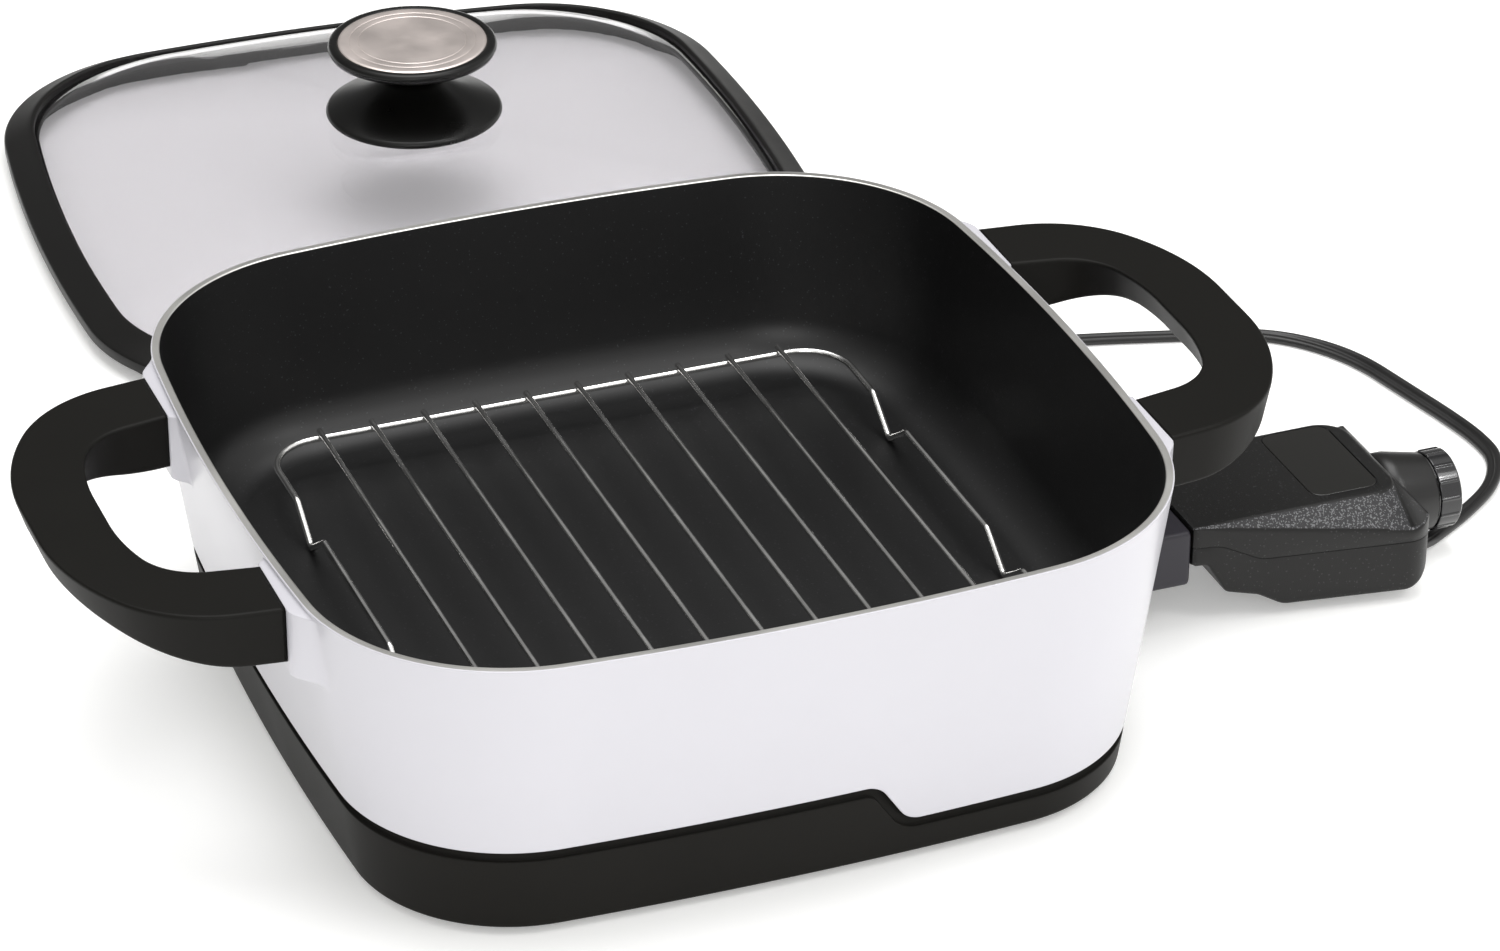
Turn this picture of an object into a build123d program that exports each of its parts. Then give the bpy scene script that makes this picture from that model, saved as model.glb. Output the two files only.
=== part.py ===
from build123d import *

import math
import os

# Electric skillet with a lift-off glass lid and a plug-in temperature control.
# Millimetres. The origin is the middle of the pan at counter level,
# +X points to the control, +Y to the back and +Z up.

# Pan: a square vessel whose bowed, tapered sides share one envelope with the base
RIM_HALF = 153.0              # half width across the rim
RIM_HEIGHT = 109.0
FOOT_HEIGHT = 3.0             # counter to underside of the base
TAPER = 16.3                  # how far each side of the foot stands back from the rim
RIM_SIDE_RADIUS = 1001.0      # bow of each side in plan
FOOT_SIDE_RADIUS = 1405.0
RIM_CORNER_RADIUS = 72.4
FOOT_CORNER_RADIUS = 55.0
PAN_WALL = 3.0
FLOOR_HEIGHT = 38.5           # cooking surface above the counter
FLOOR_THICKNESS = 4.0
FLOOR_FILLET = 16.0
EDGE_DROP = 17.3              # how much lower the skirt's edge is on the control side
STEP_X = 25.5                 # where the skirt's edge starts to drop
STEP_RUN = 11.5
STEP_RADIUS = 9.0

# Base ring under the pan
REVEAL = 3.5                  # dark gap between the pan's edge and the base's edge
REVEAL_SHIFT = 1.9
REVEAL_DEPTH = 2.0
BASE_STEP_RADII = (5.5, 12.5)
BASE_WALL = 3.5
LIP_WALL = 2.5
BASE_FLANGE_WIDTH = 25.0
BASE_FLANGE_THICKNESS = 3.0
POST_X = 60.0
POST_INSET = 16.7             # posts, in from the foot's outer face
POST_RADIUS = 6.5
PAN_POST_LENGTH = 8.5
FOOT_INSET = 27.7             # feet, in from the foot's outer face
FOOT_RADIUS = 8.0
FOOT_PEG_RADIUS = 3.0

# Fasteners and fits
FIT = 0.05                    # radial clearance of screws, pins and bushes
SEAT_GAP = 0.1                # clearance between seated faces
M3_RADIUS = 1.5
M3_HEAD_RADIUS = 2.6
M3_HEAD_HEIGHT = 2.4
M4_RADIUS = 2.0
M4_HEAD_RADIUS = 3.8
M4_HEAD_HEIGHT = 3.0
M5_RADIUS = 2.5
M5_HEAD_RADIUS = 4.3
M5_HEAD_HEIGHT = 3.4
HEAD_CLEARANCE = 0.4
SCREW_RECESS = 1.0

# Loop handles
BOSS_STAND = 1.0              # face of the pan's handle bosses beyond the rim
HANDLE_DROP = 2.0             # top of the handles below the rim
HANDLE_HEIGHT = 20.0
HANDLE_LENGTH = 62.5          # boss face to the loop's outermost line
HANDLE_BAR_WIDTH = 25.4
HANDLE_ROOT_OUTER_Y = 81.6
HANDLE_ROOT_WIDTH = 29.2
HANDLE_SHOULDER_Y = 77.2
HANDLE_SHOULDER_BACK = 25.4   # shoulder bend, back from the outermost line
HANDLE_SHOULDER_WIDTH = 30.0
HANDLE_FRONT_Y = 35.7
HANDLE_INNER_FRONT_Y = 20.9
HANDLE_OUTER_RADII = (47.8, 88.0)
HANDLE_INNER_BACK = 7.5       # inner shoulder bend, back from the bar's inner line
HANDLE_INNER_RADII = (23.0, 85.0)
HANDLE_RISE_START = 14.0      # boss face to where the underside starts to rise
HANDLE_RISE_ANGLE = 12.5
HANDLE_EDGE_RADIUS = 1.5
BOSS_MARGIN = 2.5             # boss beyond the handle's root, each side
BOSS_DEPTH_BELOW = 3.0
BOSS_EDGE_RADIUS = 3.0
LUG_WIDTH = 14.0
LUG_HEIGHT = 10.0
LUG_LENGTH = 16.0
LUG_COVER = 4.0               # handle left above the lug
LUG_GAP = 0.15
HANDLE_SCREW_REACH = 8.0      # boss face to the screws

# Wire rack, standing on the flat part of the pan's floor
RACK_MARGIN_X = 15.16         # from the edge of the flat floor
RACK_MARGIN_Y = 17.16
RACK_SHIFT = (5.0, 10.5)      # the rack lies a little off the pan's middle
RACK_CORNER_RADIUS = 18.0
RACK_WIRE_RADIUS = 1.2
RACK_HEIGHT = 11.7            # frame wire's centre above the cooking surface
RACK_LIFT = 0.3               # running clearance between feet and floor
RACK_FOOT_OFFSET = 51.5
RACK_FOOT_SPAN = 15.5
RACK_BEND_RADIUS = 3.5
CROSS_WIRE_COUNT = 10
CROSS_WIRE_RADIUS = 1.0
CROSS_WIRE_MARGIN = 21.0      # outermost cross wires, in from the frame's side wires
CROSS_WIRE_OVERHANG = 2.5
WELD_SINK = 0.2

# Heating element, socket and probe
ELEMENT_RADIUS = 4.0
ELEMENT_MARGIN = 33.16        # from the edge of the flat floor
ELEMENT_MARGIN_RIGHT = 18.16
ELEMENT_BEND = 30.0
ELEMENT_LEAD_BEND = 15.0
ELEMENT_END_GAP = 1.0
SOCKET_Y = -10.0              # middle of the socket, control and dial
PIN_SPACING = 24.0
PIN_RADIUS = 2.35
PIN_LENGTH = 28.0
INSULATOR_RADIUS = 4.0
GUARD_REACH = 33.5            # guard's face beyond the pan's rim
GUARD_HALF_WIDTH = 26.0
GUARD_SIDE_WALL = 4.0
GUARD_TOP_WALL = 2.7
GUARD_EDGE_RADIUS = 2.0
SOCKET_DEPTH = 30.5
SOCKET_ABOVE = 5.85           # socket's ceiling above its axis
SOCKET_BELOW = 7.95
PARTITION_THICKNESS = 5.0
GUARD_SCREW_OFFSET = 19.3
WELL_RADIUS = 6.5
WELL_LENGTH = 65.0            # from the rim's plane inwards
WELL_TIP_WALL = 3.0
WELL_GAP = 0.08
PROBE_RADIUS = 3.25
PROBE_TIP_GAP = 1.0

# Temperature control: lengths from its nose, widths from its middle
NOSE_GAP = 0.7                # nose to the guard's face
CONTROL_LENGTH = 89.8
CONTROL_TOP_STEP = 1.0        # top of the control above the guard
NOSE_HALF_WIDTH = 26.0
TAIL_HALF_WIDTH = 38.0
CONTROL_CORNER_RADIUS = 10.0
TOP_HALF_NOSE = 25.5
TOP_HALF_TAIL = 26.3
END_FACET_RUN = 9.0
END_FACET_DROP = 10.0
BEVEL_DROP = 11.0             # height of the side bevel at the tail
NOSE_BELOW = 6.45             # underside of the nose below the socket's axis
KEEL_SHELF = 5.8
KEEL_STEP = (12.8, 15.0)
KEEL_KNEE = (24.8, 12.5)
KEEL_FLAT = (33.8, 8.0)
KEEL_RADII = (2.5, 3.5, 8.0, 8.0)
TAIL_CORNER_RADIUS = 12.0
SHELL_WALL = 2.0
SEAM_NOSE_DROP = 8.3          # seam below the control's top, at the nose
SEAM_TAIL_DROP = 15.5
SEAM_RUN = (9.8, 24.8)
SEAM_RADIUS = 12.0
BLOCK_REACH = 27.2            # connector block ahead of the nose
BLOCK_ROOT = 9.8
BLOCK_HALF_WIDTH = 18.0
BLOCK_HALF_HEIGHT = 4.4
CONTACT_WALL = 0.6
CONTACT_GRIP = 0.07
CONTACT_LENGTH = 18.0
WINDOW_SETBACK = 15.0         # from the control's end
WINDOW_LENGTH = 26.0
WINDOW_HALF_WIDTH = 23.0
WINDOW_OFFSET_Y = 2.0
WINDOW_THICKNESS = 1.2
WINDOW_CORNER_RADIUS = 5.5
WINDOW_LEDGE = 1.5
BOARD_SETBACK = 19.0          # from the control's end
BOARD_LENGTH = 44.0
BOARD_HALF_WIDTH = 22.0
BOARD_DROP = 12.0             # underside of the board below the control's top
BOARD_THICKNESS = 1.6
DISPLAY_LENGTH = 20.0
DISPLAY_HALF_WIDTH = 20.0
RELAY_SIZE = (19.0, 15.0, 14.0)
STANDOFF_RADIUS = 2.5
STANDOFF_INSET = 3.5
CONTROL_POST_RADIUS = 3.0
NOSE_POST = (15.8, 22.0)
TAIL_POST_SETBACK = 39.0      # from the control's end
TAIL_POST_Y = 29.0
CONTROL_SCREW_COVER = 6.0     # shell left above the screws

# Dial
DIAL_HEIGHT = 20.1            # axis above the counter
COLLAR_RADIUS = 13.7
COLLAR_REACH = 13.7           # beyond the control's end
COLLAR_ROOT = 15.0
COLLAR_WALL = 2.0
DIAL_GAP = 0.3
DIAL_RADIUS = 14.7
DIAL_LENGTH = 8.6
DIAL_WALL = 2.2
DIAL_RIB_COUNT = 14
DIAL_RIB_HEIGHT = 0.4
DIAL_RIB_WIDTH = 0.9
DIAL_EDGE = 0.8
DIAL_HUB_RADIUS = 5.5
SHAFT_RADIUS = 3.0
SHAFT_IN_DIAL = 6.0
ENCODER_SIZE = 13.0
ENCODER_LENGTH = 9.0

# Mains cord: a flat two-core lead, its route from the middle of the control's end
CORD_WIDTH = 6.2
CORD_THICKNESS = 3.1
CORD_ROUTE = (
    (2.0, -14.0, 6.6), (11.8, -7.5, 2.7), (20.4, -1.4, 1.6), (37.8, 9.2, 1.7),
    (54.8, 21.9, 2.1), (65.0, 38.4, 2.5), (65.9, 53.1, 2.6), (63.3, 71.3, 2.6),
    (57.4, 98.1, 2.6), (51.9, 124.9, 2.4), (40.1, 145.7, 2.0), (23.7, 159.6, 1.7),
    (-4.7, 168.5, 1.6), (-40.0, 179.0, 1.6), (-77.2, 186.9, 1.6), (-116.8, 192.5, 1.6),
    (-156.7, 194.6, 1.6), (-196.6, 191.6, 1.6), (-233.5, 183.5, 1.6), (-267.3, 173.8, 1.6),
    (-302.4, 168.6, 1.6), (-338.3, 168.2, 1.6),
)
RELIEF_LENGTH = 24.0
RELIEF_ROOT = (10.0, 6.0)
RELIEF_TIP = (8.0, 4.6)
RELIEF_GAP = 0.15
PLUG_LIFT = 0.05              # clearance to the counter
PLUG_LENGTH = 24.0
PLUG_WIDTH = 22.0
PLUG_HEIGHT = 14.0
PLUG_NECK = 9.0
PLUG_NECK_LENGTH = 8.0
BLADE_LENGTH = 17.5
BLADE_WIDTH = 6.3
BLADE_THICKNESS = 1.5
BLADE_SPACING = 12.7
BLADE_ROOT = 8.0

# Lid, lying behind the pan
LID_OVERHANG = 2.0            # beyond the pan's rim when it is on the pan
LID_APART = 64.5              # free counter between the pan's rim and the lid
LID_X = 37.0
LID_TURN = -3.5               # degrees about +Z
LID_SIDE_RADIUS = 840.0
LID_CORNER_RADIUS = 77.0
LID_BAND_BOTTOM = 5.0
LID_BAND_TOP = 9.5
LID_LIP_WIDTH = 14.5
LID_LIP_TOP = 15.0
LID_SKIRT_OUTER = 6.0
LID_SKIRT_WALL = 3.0
LID_SEAT_WIDTH = 17.0
LID_SEAT_THICKNESS = 1.6
GLASS_THICKNESS = 4.0
GLASS_EDGE_INSET = 12.0
GLASS_SHARES = (0.0, 0.1887, 0.4528, 0.717, 1.0)    # from the edge to the flat top
GLASS_HEIGHTS = (12.5, 21.8, 28.6, 33.4, 37.0)
GLASS_HOLE_RADIUS = 3.5

# Lid knob, from its seat on the glass
KNOB_SEAT_MARGIN = 2.0          # flat glass beyond the flange
KNOB_FLANGE_RADIUS = 35.0
KNOB_FLANGE_EDGE = (1.5, 6.0)   # lower and upper edge of the flange
KNOB_WAIST_RADIUS = 11.5
KNOB_WAIST = 20.0
KNOB_FLARE = (4.0, 7.0)         # a point of the flare, out and up from the waist
KNOB_RING_RADIUS = 33.5
KNOB_RING = (31.0, 35.0)        # underside and top of the grip's ring
KNOB_RING_EDGE = 1.0
KNOB_DISC_RADIUS = 29.5
KNOB_DISC_THICKNESS = 1.0
KNOB_SCREW_DEPTH = 24.0
WASHER_RADIUS = 8.0
WASHER_THICKNESS = 1.5

# Places that follow from the sizes above
FAR = 4 * RIM_HALF
FOOT_HALF = RIM_HALF - TAPER
FLOOR_UNDERSIDE = FLOOR_HEIGHT - FLOOR_THICKNESS
SKIRT_EDGE = FLOOR_UNDERSIDE - EDGE_DROP
POST_Y = FOOT_HALF - POST_INSET
POST_TOP = FLOOR_UNDERSIDE - PAN_POST_LENGTH
FOOT_PLACE = FOOT_HALF - FOOT_INSET
HANDLE_FACE_X = RIM_HALF + BOSS_STAND
HANDLE_TOP = RIM_HEIGHT - HANDLE_DROP
HANDLE_BOTTOM = HANDLE_TOP - HANDLE_HEIGHT
HANDLE_SCREW_X = HANDLE_FACE_X + HANDLE_SCREW_REACH
LUG_Y = HANDLE_ROOT_OUTER_Y - HANDLE_ROOT_WIDTH / 2
LUG_BOTTOM = HANDLE_TOP - LUG_COVER - LUG_HEIGHT
SOCKET_Z = FLOOR_UNDERSIDE - ELEMENT_RADIUS - FIT
PIN_Y = (SOCKET_Y - PIN_SPACING / 2, SOCKET_Y + PIN_SPACING / 2)
GUARD_FACE_X = RIM_HALF + GUARD_REACH
GUARD_FLOOR = SOCKET_Z - SOCKET_BELOW
GUARD_CEILING = SOCKET_Z + SOCKET_ABOVE
GUARD_TOP = GUARD_CEILING + GUARD_TOP_WALL
PARTITION_FRONT = GUARD_FACE_X - SOCKET_DEPTH
PARTITION_BACK = PARTITION_FRONT - PARTITION_THICKNESS
ELEMENT_END_X = PARTITION_BACK - ELEMENT_END_GAP
PIN_TIP_X = ELEMENT_END_X + PIN_LENGTH
WELL_END_X = RIM_HALF - WELL_LENGTH
WELL_BORE_END_X = WELL_END_X + WELL_TIP_WALL
CONTROL_X = GUARD_FACE_X + NOSE_GAP
CONTROL_TOP = GUARD_TOP + CONTROL_TOP_STEP
BOARD_HEIGHT = CONTROL_TOP - BOARD_DROP
COLLAR_END = CONTROL_LENGTH + COLLAR_REACH
LID_HALF = RIM_HALF + LID_OVERHANG
LID_Y = RIM_HALF + LID_APART + LID_HALF
GLASS_SEAT = GLASS_HEIGHTS[-1]
PAN_PLACE = Pos(0, 0, 0)
CONTROL_PLACE = Pos(CONTROL_X, SOCKET_Y, 0)
CORD_PLACE = Pos(CONTROL_X + CONTROL_LENGTH, SOCKET_Y, 0)
LID_PLACE = Pos(LID_X, LID_Y, 0) * Rot(0, 0, LID_TURN)


def x_cylinder(radius, start, end, y, z):
    """Cylinder along +X from start to end."""
    return Pos((start + end) / 2, y, z) * Rot(0, 90, 0) * Cylinder(radius, end - start)


def z_cylinder(radius, low, high, x=0.0, y=0.0):
    """Cylinder along +Z from low to high."""
    return Pos(x, y, (low + high) / 2) * Cylinder(radius, high - low)


def block(x_range, y_range, z_range):
    """Box between two opposite corners."""
    sizes = [high - low for low, high in (x_range, y_range, z_range)]
    middle = [(high + low) / 2 for low, high in (x_range, y_range, z_range)]
    return Pos(*middle) * Box(*sizes)


def rounded_square(half, side_radius, corner_radius):
    """Square face with bowed sides and tangent corner arcs."""
    reach = side_radius - half
    to_corner = side_radius - corner_radius
    centre = (math.sqrt(2 * to_corner**2 - reach**2) - reach) / 2
    far = (centre + reach) * side_radius / to_corner - reach
    near = centre * side_radius / to_corner
    tip = centre + corner_radius * math.cos(math.radians(45))
    edges = []
    for quarter in range(4):
        side = ThreePointArc((far, -near), (half, 0), (far, near))
        corner = ThreePointArc((far, near), (tip, tip), (near, far))
        edges.append(side.rotate(Axis.Z, 90 * quarter))
        edges.append(corner.rotate(Axis.Z, 90 * quarter))
    return make_face(edges)


def envelope_half(height):
    """Half width of the pan and base at a height, at the middle of a side."""
    return RIM_HALF - TAPER * (RIM_HEIGHT - height) / (RIM_HEIGHT - FOOT_HEIGHT)


def envelope(height, inset=0.0):
    """Outline that pan and base share at a height, moved inwards by inset."""
    rise = (height - FOOT_HEIGHT) / (RIM_HEIGHT - FOOT_HEIGHT)
    half = envelope_half(height)
    side_radius = FOOT_SIDE_RADIUS + (RIM_SIDE_RADIUS - FOOT_SIDE_RADIUS) * rise
    corner_radius = FOOT_CORNER_RADIUS + (RIM_CORNER_RADIUS - FOOT_CORNER_RADIUS) * rise
    face = rounded_square(half - inset, side_radius - inset, corner_radius - inset)
    return Pos(0, 0, height) * face


def flat_floor_half():
    """Half width of the flat part of the cooking surface."""
    return envelope_half(FLOOR_HEIGHT) - PAN_WALL - FLOOR_FILLET


def slab(low, high, inset=0.0):
    """Solid slice of the envelope between two heights."""
    return loft([envelope(low, inset), envelope(high, inset)], ruled=True)


def under_step(drop, shift, radii):
    """Everything below the stepped lower edge, moved down by drop and left by shift."""
    high = FLOOR_UNDERSIDE - drop
    low = SKIRT_EDGE - drop
    start = STEP_X - shift
    end = start + STEP_RUN
    line = FilletPolyline((-FAR, high), (start, high), (end, low), (FAR, low), radius=radii)
    frame = Polyline((FAR, low), (FAR, -FAR), (-FAR, -FAR), (-FAR, high))
    return extrude(Plane.XZ * make_face([*line.edges(), *frame.edges()]), FAR, both=True)


def corners(x, y):
    """The four places (+-x, +-y)."""
    return [(side * x, front * y) for side in (-1, 1) for front in (-1, 1)]


def screw(radius, head_radius, head_height, length):
    """Screw with a cylindrical head: the seat of the head at 0, the shank along +Z."""
    return z_cylinder(head_radius, -head_height, 0) + z_cylinder(radius, 0, length)


# Pan and base ----------------------------------------------------------------


def make_pan():
    shell = slab(SKIRT_EDGE - BASE_WALL, RIM_HEIGHT)
    shell -= slab(SKIRT_EDGE - 2 * BASE_WALL, FLOOR_UNDERSIDE, PAN_WALL)
    inner_y = HANDLE_ROOT_OUTER_Y - HANDLE_ROOT_WIDTH - BOSS_MARGIN
    boss_y = (inner_y, HANDLE_ROOT_OUTER_Y + BOSS_MARGIN)
    boss_z = (HANDLE_BOTTOM - BOSS_DEPTH_BELOW, HANDLE_TOP)
    boss = block((RIM_HALF - 4 * PAN_WALL, HANDLE_FACE_X), boss_y, boss_z)
    outer_edges = boss.faces().sort_by(Axis.X)[-1].edges()
    boss = fillet(outer_edges.sort_by(Axis.Z)[:-1], BOSS_EDGE_RADIUS)
    lug = block(
        (HANDLE_FACE_X - PAN_WALL, HANDLE_FACE_X + LUG_LENGTH),
        (LUG_Y - LUG_WIDTH / 2, LUG_Y + LUG_WIDTH / 2),
        (LUG_BOTTOM, LUG_BOTTOM + LUG_HEIGHT),
    )
    lug -= z_cylinder(M5_RADIUS + FIT, 0, RIM_HEIGHT, HANDLE_SCREW_X, LUG_Y)
    for ear in (boss + lug, mirror(boss + lug, Plane.XZ)):
        shell += ear
        shell += mirror(ear, Plane.YZ)
    cavity = slab(FLOOR_HEIGHT, RIM_HEIGHT + PAN_WALL, PAN_WALL)
    shell -= fillet(cavity.edges().group_by(Axis.Z)[0], FLOOR_FILLET)
    shell -= under_step(0.0, 0.0, STEP_RADIUS)
    for x, y in corners(POST_X, POST_Y):
        shell += z_cylinder(POST_RADIUS, POST_TOP, FLOOR_UNDERSIDE + FLOOR_THICKNESS / 4, x, y)
        shell -= z_cylinder(M4_RADIUS + FIT, POST_TOP, FLOOR_UNDERSIDE - M4_RADIUS, x, y)
    return cut_socket(shell)


def cut_socket(shell):
    """Window for the element's leads, bosses for the guard and the probe's well."""
    window_half = PIN_SPACING / 2 + ELEMENT_RADIUS + 2 * HEAD_CLEARANCE
    shell -= block(
        (RIM_HALF - 8 * PAN_WALL, RIM_HALF),
        (SOCKET_Y - window_half, SOCKET_Y + window_half),
        (SOCKET_Z - WELL_RADIUS, FLOOR_UNDERSIDE),
    )
    wall_x = envelope_half(SOCKET_Z)
    shell += x_cylinder(WELL_RADIUS, WELL_END_X, wall_x - PAN_WALL, SOCKET_Y, SOCKET_Z)
    shell -= x_cylinder(PROBE_RADIUS + WELL_GAP, WELL_BORE_END_X, wall_x, SOCKET_Y, SOCKET_Z)
    for side in (-1, 1):
        y = SOCKET_Y + side * GUARD_SCREW_OFFSET
        boss_back = wall_x - 4 * PAN_WALL
        shell += x_cylinder(2 * M3_RADIUS, boss_back, wall_x - PAN_WALL / 2, y, SOCKET_Z)
        shell -= x_cylinder(M3_RADIUS + FIT, boss_back, wall_x + PAN_WALL, y, SOCKET_Z)
    return shell


def make_base_skirt():
    """Ring wall and foot flange in one, the lip inside the reveal, and the screw posts."""
    above = FLOOR_UNDERSIDE + BASE_WALL
    below = FOOT_HEIGHT - BASE_WALL
    flange_top = FOOT_HEIGHT + BASE_FLANGE_THICKNESS
    skirt = slab(FOOT_HEIGHT, above) - slab(flange_top, above + BASE_WALL, BASE_WALL)
    skirt -= slab(below, flange_top + BASE_WALL, BASE_FLANGE_WIDTH)
    skirt &= under_step(REVEAL, REVEAL_SHIFT, list(BASE_STEP_RADII))
    lip = slab(flange_top - BASE_FLANGE_THICKNESS / 2, above, REVEAL_DEPTH)
    lip -= slab(below, above + BASE_WALL, REVEAL_DEPTH + LIP_WALL)
    skirt += lip & under_step(0.0, 0.0, STEP_RADIUS)
    for x, y in corners(POST_X, POST_Y):
        skirt += z_cylinder(POST_RADIUS, FOOT_HEIGHT, POST_TOP, x, y)
        skirt -= z_cylinder(M4_RADIUS + FIT, 0, POST_TOP, x, y)
        skirt -= z_cylinder(M4_HEAD_RADIUS + HEAD_CLEARANCE, 0, base_screw_seat(), x, y)
    for x, y in corners(FOOT_PLACE, FOOT_PLACE):
        skirt -= z_cylinder(FOOT_PEG_RADIUS + FIT, 0, flange_top, x, y)
    return skirt


def base_screw_seat():
    return FOOT_HEIGHT + M4_HEAD_HEIGHT + 2 * SCREW_RECESS


def make_base_screws():
    length = FLOOR_UNDERSIDE - 2 * M4_RADIUS - base_screw_seat()
    one = screw(M4_RADIUS, M4_HEAD_RADIUS, M4_HEAD_HEIGHT, length)
    return [Pos(x, y, base_screw_seat()) * one for x, y in corners(POST_X, POST_Y)]


def make_base_feet():
    peg_top = FOOT_HEIGHT + BASE_FLANGE_THICKNESS
    foot = z_cylinder(FOOT_RADIUS, 0, FOOT_HEIGHT) + z_cylinder(FOOT_PEG_RADIUS, 0, peg_top)
    return [Pos(x, y, 0) * foot for x, y in corners(FOOT_PLACE, FOOT_PLACE)]


# Handles -----------------------------------------------------------------------


def handle_arc(root_y, shoulder, front, radii):
    """One side of the loop in plan, from the front root to the back root."""
    points = [(HANDLE_FACE_X, -root_y), (shoulder[0], -shoulder[1]), (front[0], -front[1])]
    points += [front, shoulder, (HANDLE_FACE_X, root_y)]
    return FilletPolyline(*points, radius=[*radii, *reversed(radii)])


def handle_face():
    """Flat loop at the level of the handle's underside."""
    outer_x = HANDLE_FACE_X + HANDLE_LENGTH
    inner_x = outer_x - HANDLE_BAR_WIDTH
    outer = handle_arc(
        HANDLE_ROOT_OUTER_Y, (outer_x - HANDLE_SHOULDER_BACK, HANDLE_SHOULDER_Y),
        (outer_x, HANDLE_FRONT_Y), HANDLE_OUTER_RADII,
    )
    inner = handle_arc(
        HANDLE_ROOT_OUTER_Y - HANDLE_ROOT_WIDTH,
        (inner_x - HANDLE_INNER_BACK, HANDLE_SHOULDER_Y - HANDLE_SHOULDER_WIDTH),
        (inner_x, HANDLE_INNER_FRONT_Y), HANDLE_INNER_RADII,
    )
    ends = [Line(outer @ 0, inner @ 0), Line(outer @ 1, inner @ 1)]
    return Pos(0, 0, HANDLE_BOTTOM) * make_face([*outer.edges(), *inner.edges(), *ends])


def make_handle_right():
    rise_x = HANDLE_FACE_X + HANDLE_RISE_START
    rise = Pos(rise_x, 0, HANDLE_BOTTOM) * Rot(0, -HANDLE_RISE_ANGLE, 0)
    below = Box(FAR, FAR, FAR, align=(Align.MIN, Align.CENTER, Align.MAX))
    grip = extrude(handle_face(), HANDLE_HEIGHT) - rise * below
    rims = grip.edges().group_by(Axis.Z)[-1].sort_by(Axis.X)[2:]
    grip = fillet(rims, HANDLE_EDGE_RADIUS)
    pocket = block(
        (HANDLE_FACE_X - LUG_GAP, HANDLE_FACE_X + LUG_LENGTH + LUG_GAP),
        (LUG_Y - LUG_WIDTH / 2 - LUG_GAP, LUG_Y + LUG_WIDTH / 2 + LUG_GAP),
        (LUG_BOTTOM - LUG_GAP, LUG_BOTTOM + LUG_HEIGHT + LUG_GAP),
    )
    pocket += z_cylinder(M5_RADIUS + FIT, 0, LUG_BOTTOM, HANDLE_SCREW_X, LUG_Y)
    head_hole = M5_HEAD_RADIUS + HEAD_CLEARANCE
    pocket += z_cylinder(head_hole, 0, handle_screw_seat(), HANDLE_SCREW_X, LUG_Y)
    return grip - pocket - mirror(pocket, Plane.XZ)


def make_handle_left():
    return mirror(make_handle_right(), Plane.YZ)


def handle_screw_seat():
    return HANDLE_BOTTOM + M5_HEAD_HEIGHT + HEAD_CLEARANCE


def make_handle_screws():
    length = LUG_BOTTOM + LUG_HEIGHT - M5_RADIUS - handle_screw_seat()
    one = screw(M5_RADIUS, M5_HEAD_RADIUS, M5_HEAD_HEIGHT, length)
    return [Pos(x, y, handle_screw_seat()) * one for x, y in corners(HANDLE_SCREW_X, LUG_Y)]


# Rack ----------------------------------------------------------------------------


def rack_plane():
    return FLOOR_HEIGHT + RACK_HEIGHT


def rack_sides():
    """Least and greatest X, then least and greatest Y, of the frame's wire."""
    half_x = flat_floor_half() - RACK_MARGIN_X
    half_y = flat_floor_half() - RACK_MARGIN_Y
    middle_x, middle_y = RACK_SHIFT
    return middle_x - half_x, middle_x + half_x, middle_y - half_y, middle_y + half_y


def rack_side(x, direction):
    """Points of one side wire: straight, with two V-shaped feet bent down to the floor."""
    slope = math.atan2(RACK_HEIGHT - RACK_WIRE_RADIUS - RACK_LIFT, RACK_FOOT_SPAN)
    rounding = RACK_BEND_RADIUS * (1 / math.cos(slope) - 1)
    tip = FLOOR_HEIGHT + RACK_LIFT + RACK_WIRE_RADIUS - rounding
    middle = RACK_SHIFT[1]
    points = []
    for foot in (middle - direction * RACK_FOOT_OFFSET, middle + direction * RACK_FOOT_OFFSET):
        points.append((x, foot - direction * RACK_FOOT_SPAN, rack_plane()))
        points.append((x, foot, tip))
        points.append((x, foot + direction * RACK_FOOT_SPAN, rack_plane()))
    return points


def make_rack_frame():
    """One wire bent into a closed rounded rectangle."""
    height = rack_plane()
    left, right, front, back = rack_sides()
    points = [(left, front, height), (right, front, height), *rack_side(right, 1)]
    points += [(right, back, height), (left, back, height), *rack_side(left, -1)]
    turns = [RACK_CORNER_RADIUS] * 2
    side_bends = [RACK_BEND_RADIUS] * 6
    path = FilletPolyline(*points, radius=turns + side_bends + turns + side_bends, close=True)
    section = Plane(origin=path @ 0, z_dir=path % 0) * Circle(RACK_WIRE_RADIUS)
    return sweep(section, path)


def make_rack_cross_wires():
    height = rack_plane() + RACK_WIRE_RADIUS + CROSS_WIRE_RADIUS - WELD_SINK
    left, right, front, back = rack_sides()
    wire = Rot(90, 0, 0) * Cylinder(CROSS_WIRE_RADIUS, back - front + 2 * CROSS_WIRE_OVERHANG)
    first = left + CROSS_WIRE_MARGIN
    pitch = (right - left - 2 * CROSS_WIRE_MARGIN) / (CROSS_WIRE_COUNT - 1)
    places = [first + number * pitch for number in range(CROSS_WIRE_COUNT)]
    return [Pos(x, RACK_SHIFT[1], height) * wire for x in places]


# Heating element and socket --------------------------------------------------------


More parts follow.
